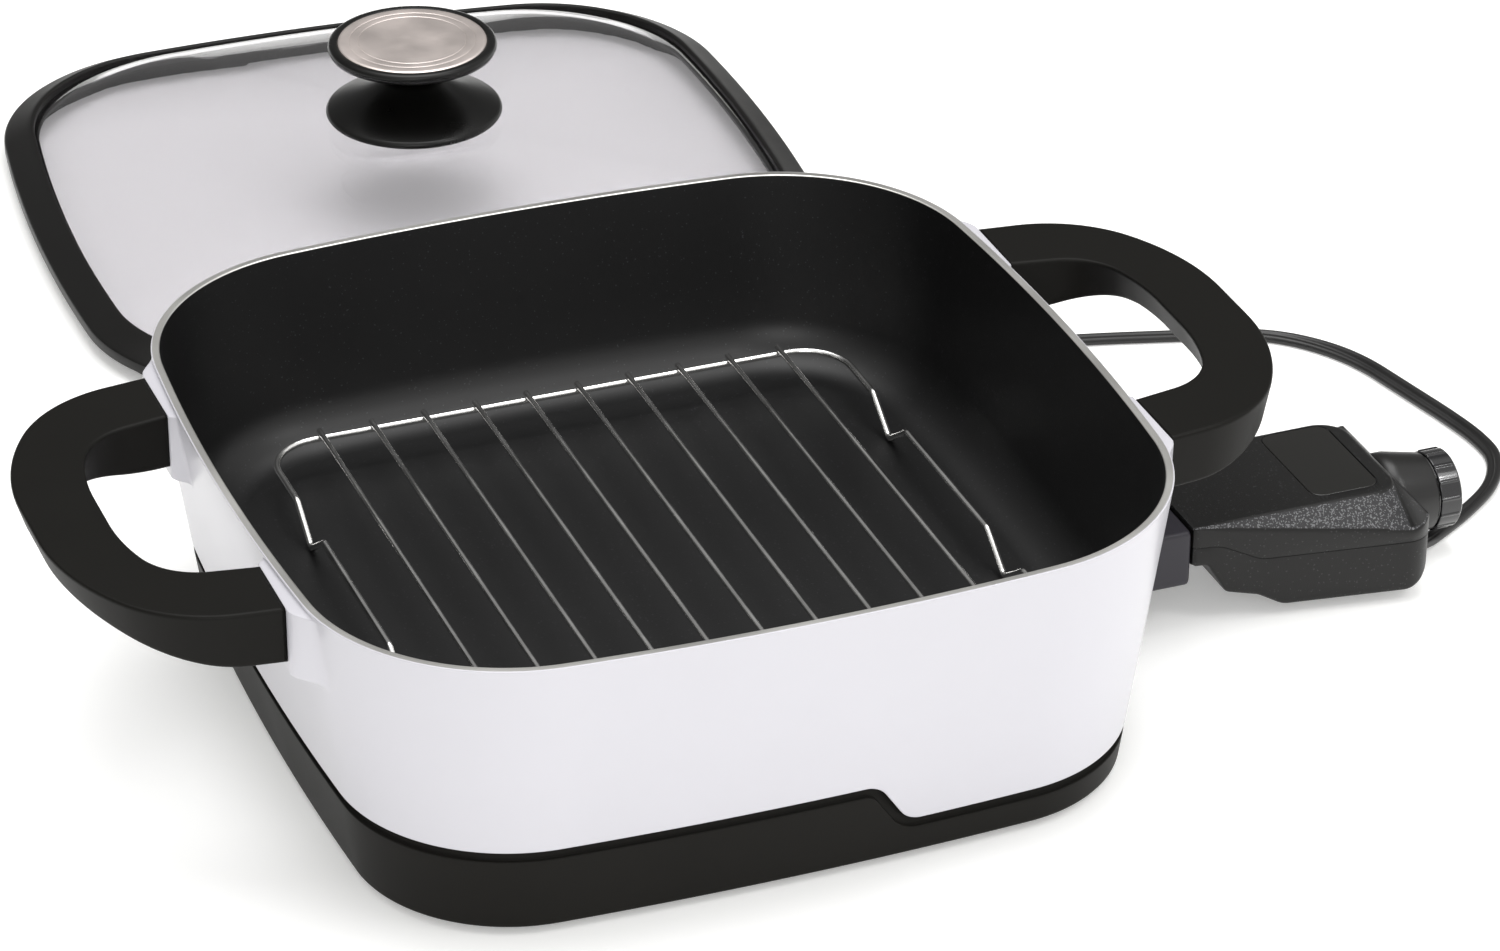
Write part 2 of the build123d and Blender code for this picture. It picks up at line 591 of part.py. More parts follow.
def make_heating_element():
    front, back = PIN_Y
    side = flat_floor_half() - ELEMENT_MARGIN
    right = flat_floor_half() - ELEMENT_MARGIN_RIGHT
    points = [
        (ELEMENT_END_X, front), (right, front), (right, -side), (-side, -side),
        (-side, side), (right, side), (right, back), (ELEMENT_END_X, back),
    ]
    radii = [ELEMENT_LEAD_BEND] + [ELEMENT_BEND] * 4 + [ELEMENT_LEAD_BEND]
    path = Pos(0, 0, SOCKET_Z) * FilletPolyline(*points, radius=radii)
    section = Plane(origin=path @ 0, z_dir=(-1, 0, 0)) * Circle(ELEMENT_RADIUS)
    return sweep(section, path)


def make_terminal_pins():
    pins = []
    for y in PIN_Y:
        tip = x_cylinder(PIN_RADIUS, ELEMENT_END_X, PIN_TIP_X, y, SOCKET_Z)
        pins.append(chamfer(tip.edges().sort_by(Axis.X)[-1], PIN_RADIUS / 3))
    return pins


def make_terminal_insulators():
    bushes = []
    for y in PIN_Y:
        bush = x_cylinder(INSULATOR_RADIUS, ELEMENT_END_X + FIT, PARTITION_FRONT, y, SOCKET_Z)
        bush -= x_cylinder(PIN_RADIUS + FIT, ELEMENT_END_X, PIN_TIP_X, y, SOCKET_Z)
        bushes.append(bush)
    return bushes


def make_socket_guard():
    sides = (SOCKET_Y - GUARD_HALF_WIDTH, SOCKET_Y + GUARD_HALF_WIDTH)
    guard = block((FOOT_HALF, GUARD_FACE_X), sides, (SKIRT_EDGE, GUARD_TOP))
    long_edges = guard.edges().filter_by(Axis.X).sort_by(Axis.Z)[-2:]
    face_edges = guard.faces().sort_by(Axis.X)[-1].edges().sort_by(Axis.Z)[1:]
    guard = fillet([*long_edges, *face_edges], GUARD_EDGE_RADIUS)
    inner = (sides[0] + GUARD_SIDE_WALL, sides[1] - GUARD_SIDE_WALL)
    guard -= block((PARTITION_FRONT, FAR), inner, (GUARD_FLOOR, GUARD_CEILING))
    guard -= block((0, PARTITION_BACK), inner, (GUARD_FLOOR, GUARD_CEILING))
    guard -= slab(FOOT_HEIGHT, RIM_HEIGHT, -SEAT_GAP)
    for y in PIN_Y:
        guard -= x_cylinder(INSULATOR_RADIUS + FIT, 0, GUARD_FACE_X, y, SOCKET_Z)
    guard -= x_cylinder(PROBE_RADIUS + HEAD_CLEARANCE, 0, GUARD_FACE_X, SOCKET_Y, SOCKET_Z)
    for side in (-1, 1):
        y = SOCKET_Y + side * GUARD_SCREW_OFFSET
        guard -= x_cylinder(M3_RADIUS + FIT, 0, GUARD_FACE_X, y, SOCKET_Z)
    return guard


def make_guard_screws():
    length = PARTITION_FRONT - envelope_half(SOCKET_Z) + 2 * PAN_WALL
    one = Rot(0, -90, 0) * screw(M3_RADIUS, M3_HEAD_RADIUS, M3_HEAD_HEIGHT, length)
    places = [SOCKET_Y + side * GUARD_SCREW_OFFSET for side in (-1, 1)]
    return [Pos(PARTITION_FRONT, y, SOCKET_Z) * one for y in places]


# Temperature control, built about the middle of its nose ------------------------------


def bevel_plane(side, inset):
    """Plane of one long bevel, moved inwards by inset."""
    nose = Vector(0, side * TOP_HALF_NOSE, CONTROL_TOP)
    tail = Vector(CONTROL_LENGTH - END_FACET_RUN, side * TOP_HALF_TAIL, CONTROL_TOP)
    edge = Vector(tail_x(), side * TAIL_HALF_WIDTH, CONTROL_TOP - BEVEL_DROP)
    outward = (tail - nose).cross(edge - nose) * side
    outward = outward.normalized()
    return Plane(origin=nose - outward * inset, x_dir=tail - nose, z_dir=outward)


def tail_x():
    """Where the rounded corners of the control's end begin."""
    return CONTROL_LENGTH - CONTROL_CORNER_RADIUS


def control_plan():
    """Outline of the control from above: it widens towards the dial."""
    flare = (TAIL_HALF_WIDTH - NOSE_HALF_WIDTH) / tail_x()
    end_half = NOSE_HALF_WIDTH + flare * CONTROL_LENGTH
    plan = make_face(Polyline(
        (0, -NOSE_HALF_WIDTH), (CONTROL_LENGTH, -end_half),
        (CONTROL_LENGTH, end_half), (0, NOSE_HALF_WIDTH), close=True,
    ))
    return fillet(plan.vertices().sort_by(Axis.X)[-2:], CONTROL_CORNER_RADIUS)


def control_side():
    """Outline of the control from the front: flat top, end facet and stepped keel."""
    nose = SOCKET_Z - NOSE_BELOW
    keel = [(0, nose), (KEEL_SHELF, nose), KEEL_STEP, KEEL_KNEE, KEEL_FLAT]
    keel.append((CONTROL_LENGTH, KEEL_FLAT[1]))
    end = (CONTROL_LENGTH, CONTROL_TOP - END_FACET_DROP)
    lower = FilletPolyline(*keel, end, radius=[*KEEL_RADII, TAIL_CORNER_RADIUS])
    facet = (CONTROL_LENGTH - END_FACET_RUN, CONTROL_TOP)
    upper = Polyline(end, facet, (0, CONTROL_TOP), (0, nose))
    return make_face([*lower.edges(), *upper.edges()])


def control_body(inset=0.0):
    """Closed body of the control, or its hollow when inset is the wall."""
    plan = control_plan()
    side = control_side()
    if inset:
        plan = offset(plan, -inset)
        side = offset(side, -inset)
    body = extrude(plan, FAR) & extrude(Plane.XZ * side, FAR, both=True)
    for hand in (-1, 1):
        body = split(body, bisect_by=bevel_plane(hand, inset), keep=Keep.BOTTOM)
    return body


def above_seam():
    """Everything above the line where the two shells of the control meet."""
    start, end = SEAM_RUN
    high, low = CONTROL_TOP - SEAM_NOSE_DROP, CONTROL_TOP - SEAM_TAIL_DROP
    line = FilletPolyline(
        (-FAR, high), (start, high), (end, low), (FAR, low), radius=SEAM_RADIUS
    )
    frame = Polyline((FAR, low), (FAR, FAR), (-FAR, FAR), (-FAR, high))
    return extrude(Plane.XZ * make_face([*line.edges(), *frame.edges()]), FAR, both=True)


def control_posts():
    """X, Y and screw seat of the four posts that hold the shells together."""
    nose_x, nose_y = NOSE_POST
    tail_post = CONTROL_LENGTH - TAIL_POST_SETBACK
    nose_seat = KEEL_STEP[1] + M3_HEAD_HEIGHT + SCREW_RECESS
    tail_seat = KEEL_FLAT[1] + M3_HEAD_HEIGHT + SCREW_RECESS
    return [(nose_x, hand * nose_y, nose_seat) for hand in (-1, 1)] + [
        (tail_post, hand * TAIL_POST_Y, tail_seat) for hand in (-1, 1)]


def board_end():
    return CONTROL_LENGTH - BOARD_SETBACK


def standoff_places():
    xs = (board_end() - BOARD_LENGTH + STANDOFF_INSET, board_end() - STANDOFF_INSET)
    out = BOARD_HALF_WIDTH - STANDOFF_INSET
    return [(x, hand * out) for x in xs for hand in (-1, 1)]


def relief_frame():
    """Plane at the cord's exit, its z axis along the cord's first run."""
    first, second = Vector(*CORD_ROUTE[0]), Vector(*CORD_ROUTE[1])
    heading = (second - first).normalized()
    across = Vector(0, 0, 1).cross(heading)
    return Plane(origin=first, x_dir=across, z_dir=heading)


def relief_solid(gap=0.0):
    """Tapered sleeve that ends at the cord's exit."""
    root = relief_frame() * Pos(0, 0, -RELIEF_LENGTH) * Rectangle(
        RELIEF_ROOT[0] + 2 * gap, RELIEF_ROOT[1] + 2 * gap)
    tip = relief_frame() * Rectangle(RELIEF_TIP[0] + 2 * gap, RELIEF_TIP[1] + 2 * gap)
    return loft([root, tip], ruled=True)


def make_control_housing():
    """Shell of the control with its collar, before it is split at the seam."""
    body = control_body()
    collar_root = CONTROL_LENGTH - COLLAR_ROOT
    collar = x_cylinder(COLLAR_RADIUS, collar_root, COLLAR_END, 0, DIAL_HEIGHT)
    bore_radius = COLLAR_RADIUS - COLLAR_WALL
    bore = x_cylinder(bore_radius, collar_root, COLLAR_END - COLLAR_WALL, 0, DIAL_HEIGHT)
    housing = (body + collar) - (control_body(SHELL_WALL) + bore)
    for x, y, seat in control_posts():
        screw_top = CONTROL_TOP - CONTROL_SCREW_COVER + M3_RADIUS
        housing += z_cylinder(CONTROL_POST_RADIUS, 0, CONTROL_TOP, x, y) & body
        housing -= z_cylinder(M3_RADIUS + FIT, 0, screw_top, x, y)
        housing -= z_cylinder(M3_HEAD_RADIUS + SEAT_GAP, 0, seat, x, y)
    housing -= x_cylinder(SHAFT_RADIUS + HEAD_CLEARANCE, collar_root, FAR, 0, DIAL_HEIGHT)
    housing -= block(
        (-BLOCK_REACH, 2 * SHELL_WALL),
        (-BLOCK_HALF_WIDTH - SEAT_GAP, BLOCK_HALF_WIDTH + SEAT_GAP),
        (SOCKET_Z - BLOCK_HALF_HEIGHT - SEAT_GAP, SOCKET_Z + BLOCK_HALF_HEIGHT + SEAT_GAP),
    )
    return housing - Pos(CONTROL_LENGTH, 0, 0) * relief_solid(RELIEF_GAP)


def make_control_housing_top():
    top = make_control_housing() & above_seam()
    top -= window_solid(SEAT_GAP)
    start, end = window_ends()
    across = (WINDOW_OFFSET_Y - WINDOW_HALF_WIDTH, WINDOW_OFFSET_Y + WINDOW_HALF_WIDTH)
    top -= block(
        (start + WINDOW_LEDGE, end - WINDOW_LEDGE),
        (across[0] + WINDOW_LEDGE, across[1] - WINDOW_LEDGE),
        (CONTROL_TOP - 2 * SHELL_WALL, CONTROL_TOP),
    )
    return top


def make_control_housing_bottom():
    bottom = make_control_housing() - above_seam()
    body = control_body()
    for x, y in standoff_places():
        post = z_cylinder(STANDOFF_RADIUS, 0, BOARD_HEIGHT, x, y)
        bottom += post & body
    return bottom


def window_ends():
    end = CONTROL_LENGTH - WINDOW_SETBACK
    return end - WINDOW_LENGTH, end


def window_solid(gap=0.0):
    """Flush window over the display, with round corners."""
    length = WINDOW_LENGTH + 2 * gap
    width = 2 * WINDOW_HALF_WIDTH + 2 * gap
    plate = RectangleRounded(length, width, WINDOW_CORNER_RADIUS)
    middle_x = sum(window_ends()) / 2
    return Pos(middle_x, WINDOW_OFFSET_Y, CONTROL_TOP - WINDOW_THICKNESS - gap) * extrude(
        plate, WINDOW_THICKNESS + gap)


def make_control_display():
    middle_x = sum(window_ends()) / 2
    return block(
        (middle_x - DISPLAY_LENGTH / 2, middle_x + DISPLAY_LENGTH / 2),
        (WINDOW_OFFSET_Y - DISPLAY_HALF_WIDTH, WINDOW_OFFSET_Y + DISPLAY_HALF_WIDTH),
        (BOARD_HEIGHT + BOARD_THICKNESS, CONTROL_TOP - WINDOW_THICKNESS - SEAT_GAP),
    )


def make_control_board():
    return block(
        (board_end() - BOARD_LENGTH, board_end()),
        (-BOARD_HALF_WIDTH, BOARD_HALF_WIDTH),
        (BOARD_HEIGHT, BOARD_HEIGHT + BOARD_THICKNESS),
    )


def make_control_relay():
    length, width, height = RELAY_SIZE
    middle_x = board_end() - BOARD_LENGTH / 2
    return block(
        (middle_x - length / 2, middle_x + length / 2),
        (-width / 2, width / 2),
        (BOARD_HEIGHT - height, BOARD_HEIGHT),
    )


def make_control_screws():
    screws = []
    for x, y, seat in control_posts():
        length = CONTROL_TOP - CONTROL_SCREW_COVER - seat
        one = screw(M3_RADIUS, M3_HEAD_RADIUS, M3_HEAD_HEIGHT, length)
        screws.append(Pos(x, y, seat) * one)
    return screws


def make_connector_block():
    nose = block(
        (-BLOCK_REACH, BLOCK_ROOT),
        (-BLOCK_HALF_WIDTH, BLOCK_HALF_WIDTH),
        (SOCKET_Z - BLOCK_HALF_HEIGHT, SOCKET_Z + BLOCK_HALF_HEIGHT),
    )
    contact_radius = PIN_RADIUS + CONTACT_GRIP + CONTACT_WALL
    contact_end = -BLOCK_REACH + CONTACT_LENGTH + HEAD_CLEARANCE
    for hand in (-1, 1):
        y = hand * PIN_SPACING / 2
        nose -= x_cylinder(contact_radius + FIT, -FAR, contact_end, y, SOCKET_Z)
    return nose - x_cylinder(PROBE_RADIUS + FIT, -FAR, probe_root(), 0, SOCKET_Z)


def probe_root():
    return BLOCK_ROOT - SHELL_WALL


def make_probe_rod():
    tip = WELL_BORE_END_X + PROBE_TIP_GAP - CONTROL_X
    rod = x_cylinder(PROBE_RADIUS, tip, probe_root(), 0, SOCKET_Z)
    return fillet(rod.edges().sort_by(Axis.X)[0], PROBE_RADIUS / 2)


def make_socket_contacts():
    sleeves = []
    bore = PIN_RADIUS + CONTACT_GRIP
    end = -BLOCK_REACH + CONTACT_LENGTH
    for hand in (-1, 1):
        y = hand * PIN_SPACING / 2
        sleeve = x_cylinder(bore + CONTACT_WALL, -BLOCK_REACH, end, y, SOCKET_Z)
        sleeves.append(sleeve - x_cylinder(bore, -FAR, end, y, SOCKET_Z))
    return sleeves


# Dial, built about the middle of the control's nose --------------------------------------


def dial_start():
    return COLLAR_END + DIAL_GAP


def make_control_dial():
    end = dial_start() + DIAL_LENGTH
    cup = x_cylinder(DIAL_RADIUS - DIAL_RIB_HEIGHT, dial_start(), end, 0, DIAL_HEIGHT)
    cup = chamfer(cup.edges().sort_by(Axis.X)[-1], DIAL_EDGE)
    inner_radius = DIAL_RADIUS - DIAL_RIB_HEIGHT - DIAL_WALL
    room = x_cylinder(inner_radius, dial_start(), end - DIAL_WALL, 0, DIAL_HEIGHT)
    hub = x_cylinder(DIAL_HUB_RADIUS, dial_start(), end - DIAL_WALL, 0, DIAL_HEIGHT)
    dial = cup - (room - hub)
    for number in range(DIAL_RIB_COUNT):
        turn = Rot(360 / DIAL_RIB_COUNT * number, 0, 0)
        rib = block(
            (dial_start(), end - DIAL_EDGE), (-DIAL_RIB_WIDTH / 2, DIAL_RIB_WIDTH / 2),
            (inner_radius + DIAL_WALL / 2, DIAL_RADIUS),
        )
        dial += Pos(0, 0, DIAL_HEIGHT) * turn * rib
    shaft_end = dial_start() + SHAFT_IN_DIAL
    return dial - x_cylinder(SHAFT_RADIUS + FIT, 0, shaft_end, 0, DIAL_HEIGHT)


def encoder_face():
    return COLLAR_END - COLLAR_WALL - SEAT_GAP


def make_dial_shaft():
    start = encoder_face() - ENCODER_LENGTH + SHELL_WALL
    end = dial_start() + SHAFT_IN_DIAL - FIT
    return x_cylinder(SHAFT_RADIUS, start, end, 0, DIAL_HEIGHT)


def make_dial_encoder():
    half = ENCODER_SIZE / 2
    body = block(
        (encoder_face() - ENCODER_LENGTH, encoder_face()),
        (-half, half),
        (DIAL_HEIGHT - half, DIAL_HEIGHT + half),
    )
    bore_start = encoder_face() - ENCODER_LENGTH + SHELL_WALL - HEAD_CLEARANCE
    return body - x_cylinder(SHAFT_RADIUS + FIT, bore_start, FAR, 0, DIAL_HEIGHT)


# Cord, built about the middle of the control's end ---------------------------------------


def cord_radii():
    """Radius at each inner point: as large as its two runs allow."""
    points = [Vector(*point) for point in CORD_ROUTE]
    radii = []
    for before, here, after in zip(points, points[1:], points[2:]):
        into, out = here - before, after - here
        half_turn = math.radians(into.get_angle(out)) / 2
        radii.append(0.45 * min(into.length, out.length) / math.tan(half_turn))
    return radii


def make_power_cord():
    path = FilletPolyline(*CORD_ROUTE, radius=cord_radii())
    section = relief_frame() * SlotOverall(CORD_WIDTH, CORD_THICKNESS)
    return sweep(section, path)


def plug_frame():
    """Plane at the cord's far end, its z axis into the plug."""
    last, before = Vector(*CORD_ROUTE[-1]), Vector(*CORD_ROUTE[-2])
    heading = (last - before).normalized()
    return Plane(origin=last, x_dir=Vector(0, 0, 1).cross(heading), z_dir=heading)


def plug_lift():
    """Middle of the plug's grip above the middle of the cord."""
    return PLUG_HEIGHT / 2 - CORD_ROUTE[-1][2] + PLUG_LIFT


def make_plug_body():
    """Moulded plug lying on the counter: a neck round the cord, then the grip."""
    root = plug_frame() * Rectangle(PLUG_NECK, CORD_THICKNESS)
    grip = Pos(0, plug_lift(), 0) * Rectangle(PLUG_WIDTH, PLUG_HEIGHT)
    shoulder = plug_frame() * Pos(0, 0, PLUG_NECK_LENGTH) * grip
    face = plug_frame() * Pos(0, 0, PLUG_LENGTH) * grip
    body = loft([root, shoulder], ruled=True) + loft([shoulder, face], ruled=True)
    return body - make_plug_blades(FIT)


def make_plug_blades(gap=0.0):
    blades = []
    for side in (-1, 1):
        section = Rectangle(BLADE_THICKNESS + 2 * gap, BLADE_WIDTH + 2 * gap)
        start = PLUG_LENGTH - BLADE_ROOT - gap
        place = Pos(side * BLADE_SPACING / 2, plug_lift(), start)
        blades.append(plug_frame() * place * extrude(section, BLADE_ROOT + BLADE_LENGTH + gap))
    return blades


# Lid and knob, built about the lid's middle ----------------------------------------------


def lid_outline(height, inset):
    """Lid outline at a height, moved inwards by inset."""
    face = rounded_square(LID_HALF - inset, LID_SIDE_RADIUS - inset, LID_CORNER_RADIUS - inset)
    return Pos(0, 0, height) * face


def lid_slab(low, high, inset_low, inset_high):
    return loft([lid_outline(low, inset_low), lid_outline(high, inset_high)], ruled=True)


def glass_outline(height, inset):
    """Outline of the dome: the lid's outline scaled down, so that it stays round-cornered."""
    share = (LID_HALF - inset) / LID_HALF
    face = rounded_square(LID_HALF * share, LID_SIDE_RADIUS * share, LID_CORNER_RADIUS * share)
    return Pos(0, 0, height) * face


def dome(drop, widen):
    """Stack of ruled slices under the glass's profile, moved down and outwards."""
    run = LID_HALF - GLASS_EDGE_INSET - KNOB_FLANGE_RADIUS - KNOB_SEAT_MARGIN
    outlines = [
        glass_outline(height - drop, GLASS_EDGE_INSET + share * run - widen)
        for share, height in zip(GLASS_SHARES, GLASS_HEIGHTS)
    ]
    slices = [loft([low, high], ruled=True) for low, high in zip(outlines, outlines[1:])]
    return slices[0] + slices[1:]


def glass_solid(gap=0.0):
    """Dome of even thickness, standing on its rim, grown by gap."""
    edge_height = GLASS_HEIGHTS[0]
    edge = loft([
        glass_outline(edge_height - GLASS_THICKNESS - gap, GLASS_EDGE_INSET - gap),
        glass_outline(edge_height + gap, GLASS_EDGE_INSET - gap),
    ], ruled=True)
    return dome(-gap, gap) + edge - dome(GLASS_THICKNESS + gap, -gap)


def make_lid_glass():
    return glass_solid() - z_cylinder(GLASS_HOLE_RADIUS, 0, GLASS_SEAT + GLASS_THICKNESS)


def make_lid_rim():
    rim = lid_slab(LID_BAND_BOTTOM, LID_BAND_TOP, 0, 0)
    rim += lid_slab(LID_BAND_TOP, LID_LIP_TOP, 0, LID_LIP_WIDTH)
    seat_top = GLASS_HEIGHTS[0] - GLASS_THICKNESS - FIT
    seat_low = seat_top - LID_SEAT_THICKNESS
    rim -= lid_slab(seat_top, FAR, LID_LIP_WIDTH, LID_LIP_WIDTH)
    rim -= lid_slab(0, FAR, LID_SEAT_WIDTH, LID_SEAT_WIDTH)
    skirt_inner = LID_SKIRT_OUTER + LID_SKIRT_WALL
    rim -= lid_slab(0, seat_low, skirt_inner, skirt_inner)
    skirt = lid_slab(0, LID_BAND_TOP, LID_SKIRT_OUTER, LID_SKIRT_OUTER)
    rim += skirt - lid_slab(0, LID_BAND_TOP, skirt_inner, skirt_inner)
    return rim - glass_solid(FIT)


def turned(points):
    """Solid turned about the knob's axis from a profile of (radius, height) points."""
    return Pos(0, 0, GLASS_SEAT) * revolve(Plane.XZ * make_face(points), Axis.Z)


def make_knob_flange():
    """Lower part: a wide flange that sweeps up to the waist."""
    low, high = KNOB_FLANGE_EDGE
    sweep_start = (KNOB_FLANGE_RADIUS - low, high + low)
    middle = (KNOB_WAIST_RADIUS + low, (high + KNOB_WAIST) / 2)
    waist = (KNOB_WAIST_RADIUS, KNOB_WAIST)
    profile = [
        Line((M5_RADIUS + FIT, 0), (KNOB_FLANGE_RADIUS - low, 0)),
        Line((KNOB_FLANGE_RADIUS - low, 0), (KNOB_FLANGE_RADIUS, low)),
        Line((KNOB_FLANGE_RADIUS, low), (KNOB_FLANGE_RADIUS, high)),
        Line((KNOB_FLANGE_RADIUS, high), sweep_start),
        ThreePointArc(sweep_start, middle, waist),
        Line(waist, (M5_RADIUS + FIT, KNOB_WAIST)),
        Line((M5_RADIUS + FIT, KNOB_WAIST), (M5_RADIUS + FIT, 0)),
    ]
    return turned(profile)


def make_knob_grip():
    """Upper part: flares from the waist to a wide ring with a seat for the disc."""
    under, top = KNOB_RING
    waist = (KNOB_WAIST_RADIUS, KNOB_WAIST)
    middle = (KNOB_WAIST_RADIUS + KNOB_FLARE[0], KNOB_WAIST + KNOB_FLARE[1])
    flare_end = (KNOB_RING_RADIUS, under)
    seat = top - KNOB_DISC_THICKNESS
    disc_edge = KNOB_DISC_RADIUS + FIT
    bore = M5_RADIUS + FIT
    bore_top = KNOB_SCREW_DEPTH + FIT
    profile = [
        ThreePointArc(waist, middle, flare_end),
        Line(flare_end, (KNOB_RING_RADIUS, seat)),
        Line((KNOB_RING_RADIUS, seat), (KNOB_RING_RADIUS - KNOB_RING_EDGE, top)),
        Line((KNOB_RING_RADIUS - KNOB_RING_EDGE, top), (disc_edge, top)),
        Line((disc_edge, top), (disc_edge, seat)),
        Line((disc_edge, seat), (0, seat)),
        Line((0, seat), (0, bore_top)),
        Line((0, bore_top), (bore, bore_top)),
        Line((bore, bore_top), (bore, KNOB_WAIST)),
        Line((bore, KNOB_WAIST), waist),
    ]
    return turned(profile)


def make_knob_disc():
    low, high = KNOB_RING[1] - KNOB_DISC_THICKNESS, KNOB_RING[1]
    return z_cylinder(KNOB_DISC_RADIUS, GLASS_SEAT + low, GLASS_SEAT + high)


def make_knob_washer():
    underside = GLASS_SEAT - GLASS_THICKNESS
    washer = z_cylinder(WASHER_RADIUS, underside - WASHER_THICKNESS, underside)
    return washer - z_cylinder(M5_RADIUS + FIT, 0, underside)


def make_knob_screw():
    seat = -GLASS_THICKNESS - WASHER_THICKNESS
    one = screw(M5_RADIUS, M5_HEAD_RADIUS, M5_HEAD_HEIGHT, KNOB_SCREW_DEPTH - seat)
    return Pos(0, 0, GLASS_SEAT + seat) * one


# Every piece by name, in the frame it is built in -----------------------------------------


GROUPS = (
    (PAN_PLACE, {
        "pan": make_pan,
        "base_skirt": make_base_skirt,
        "base_screws": make_base_screws,
        "base_feet": make_base_feet,
        "handle_right": make_handle_right,
        "handle_left": make_handle_left,
        "handle_screws": make_handle_screws,
        "rack_frame": make_rack_frame,
        "rack_cross_wires": make_rack_cross_wires,
        "heating_element": make_heating_element,
        "terminal_pins": make_terminal_pins,
        "terminal_insulators": make_terminal_insulators,
        "socket_guard": make_socket_guard,
        "guard_screws": make_guard_screws,
    }),
    (CONTROL_PLACE, {
        "control_housing_top": make_control_housing_top,
        "control_housing_bottom": make_control_housing_bottom,
        "control_window": window_solid,
        "control_display": make_control_display,
        "control_board": make_control_board,
        "control_relay": make_control_relay,
        "control_screws": make_control_screws,
        "connector_block": make_connector_block,
        "socket_contacts": make_socket_contacts,
        "probe_rod": make_probe_rod,
        "dial_encoder": make_dial_encoder,
        "control_dial": make_control_dial,
        "dial_shaft": make_dial_shaft,
    }),
    (CORD_PLACE, {
        "strain_relief": relief_solid,
        "power_cord": make_power_cord,
        "plug_body": make_plug_body,
        "plug_blades": make_plug_blades,
    }),
    (LID_PLACE, {
        "lid_glass": make_lid_glass,
        "lid_rim": make_lid_rim,
        "knob_flange": make_knob_flange,
        "knob_grip": make_knob_grip,
        "knob_disc": make_knob_disc,
        "knob_washer": make_knob_washer,
        "knob_screw": make_knob_screw,
    }),
)

os.makedirs("parts", exist_ok=True)
for place, pieces in GROUPS:
    for name, make in pieces.items():
        made = make()
        items = made if isinstance(made, list) else [made]
        solids = [place * solid for item in items for solid in item.solids()]
        export_step(Compound(children=solids), f"parts/{name}.step")
print("cord radii:", ", ".join(f"{radius:.1f}" for radius in cord_radii()))
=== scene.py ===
import math

import bmesh
import bpy
import numpy as np
from mathutils import Matrix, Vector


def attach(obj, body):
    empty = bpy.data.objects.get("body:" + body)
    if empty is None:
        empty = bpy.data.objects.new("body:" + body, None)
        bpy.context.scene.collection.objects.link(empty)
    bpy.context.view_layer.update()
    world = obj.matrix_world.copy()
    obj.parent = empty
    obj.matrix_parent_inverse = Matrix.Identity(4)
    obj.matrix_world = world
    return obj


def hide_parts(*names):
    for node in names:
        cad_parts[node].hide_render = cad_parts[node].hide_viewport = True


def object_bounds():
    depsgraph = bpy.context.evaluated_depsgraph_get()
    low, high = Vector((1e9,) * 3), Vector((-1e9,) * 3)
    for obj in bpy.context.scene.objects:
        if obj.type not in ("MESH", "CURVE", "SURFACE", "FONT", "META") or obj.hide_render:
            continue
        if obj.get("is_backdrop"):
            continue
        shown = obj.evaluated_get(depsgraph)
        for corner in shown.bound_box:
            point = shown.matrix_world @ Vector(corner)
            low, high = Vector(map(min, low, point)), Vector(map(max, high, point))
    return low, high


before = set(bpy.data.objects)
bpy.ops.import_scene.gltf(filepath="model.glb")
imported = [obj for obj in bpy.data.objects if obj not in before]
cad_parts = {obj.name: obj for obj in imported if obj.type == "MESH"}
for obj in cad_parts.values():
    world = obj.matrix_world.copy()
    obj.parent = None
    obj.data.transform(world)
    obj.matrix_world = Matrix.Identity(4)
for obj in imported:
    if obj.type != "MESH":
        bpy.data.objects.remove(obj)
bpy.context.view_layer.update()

# Studio ------------------------------------------------------------------------------
# A light table of pale acrylic, glowing faintly, in a bright room whose far and left
# sides are dark, with three soft lamps, a narrow beam on the control, and the camera.
# Metres everywhere: +X points to the temperature control, +Y to the back, +Z up.

CAMERA_PLACE = (-0.5705, -1.5471, 1.0254)
CAMERA_YAW = math.radians(21.382)     # turned from +Y towards +X
CAMERA_DOWN = math.radians(29.816)
CAMERA_ROLL = math.radians(0.217)
CAMERA_LENS = 134.64                  # millimetres, on a sensor 36 mm wide
FLOOR_HALF = 12.0
FLOOR_COLOUR = (0.88, 0.88, 0.87, 1.0)
FLOOR_GLOW = 0.32
ROOM_COLOUR = (1.0, 0.995, 0.985, 1.0)
ROOM_LIGHT = 0.92
DARK_SIDE_LIGHT = 0.22
DARK_BELOW = (0.90, 0.68)             # upward part of a direction: bright before, dark after
FAR_SIDE = (0.15, 0.60)               # its part to the back: bright before, dark after
LEFT_SIDE = (-0.60, -0.92)            # its part to the right
LEFT_SIDE_SHARE = 0.9


def unit(vectors):
    """Vectors scaled to length 1; a zero vector stays zero."""
    lengths = np.linalg.norm(vectors, axis=-1, keepdims=True)
    return vectors / np.maximum(lengths, 1e-12)


def facing(place, ahead, level_right, roll=0.0):
    """Matrix of a lamp or camera at place that looks along ahead, turned by roll about it."""
    level_up = np.cross(level_right, ahead)
    right = math.cos(roll) * level_right + math.sin(roll) * level_up
    up = np.cross(right, ahead)
    columns = np.column_stack([right, up, -ahead, place])
    return Matrix(np.vstack([columns, (0.0, 0.0, 0.0, 1.0)]).tolist())


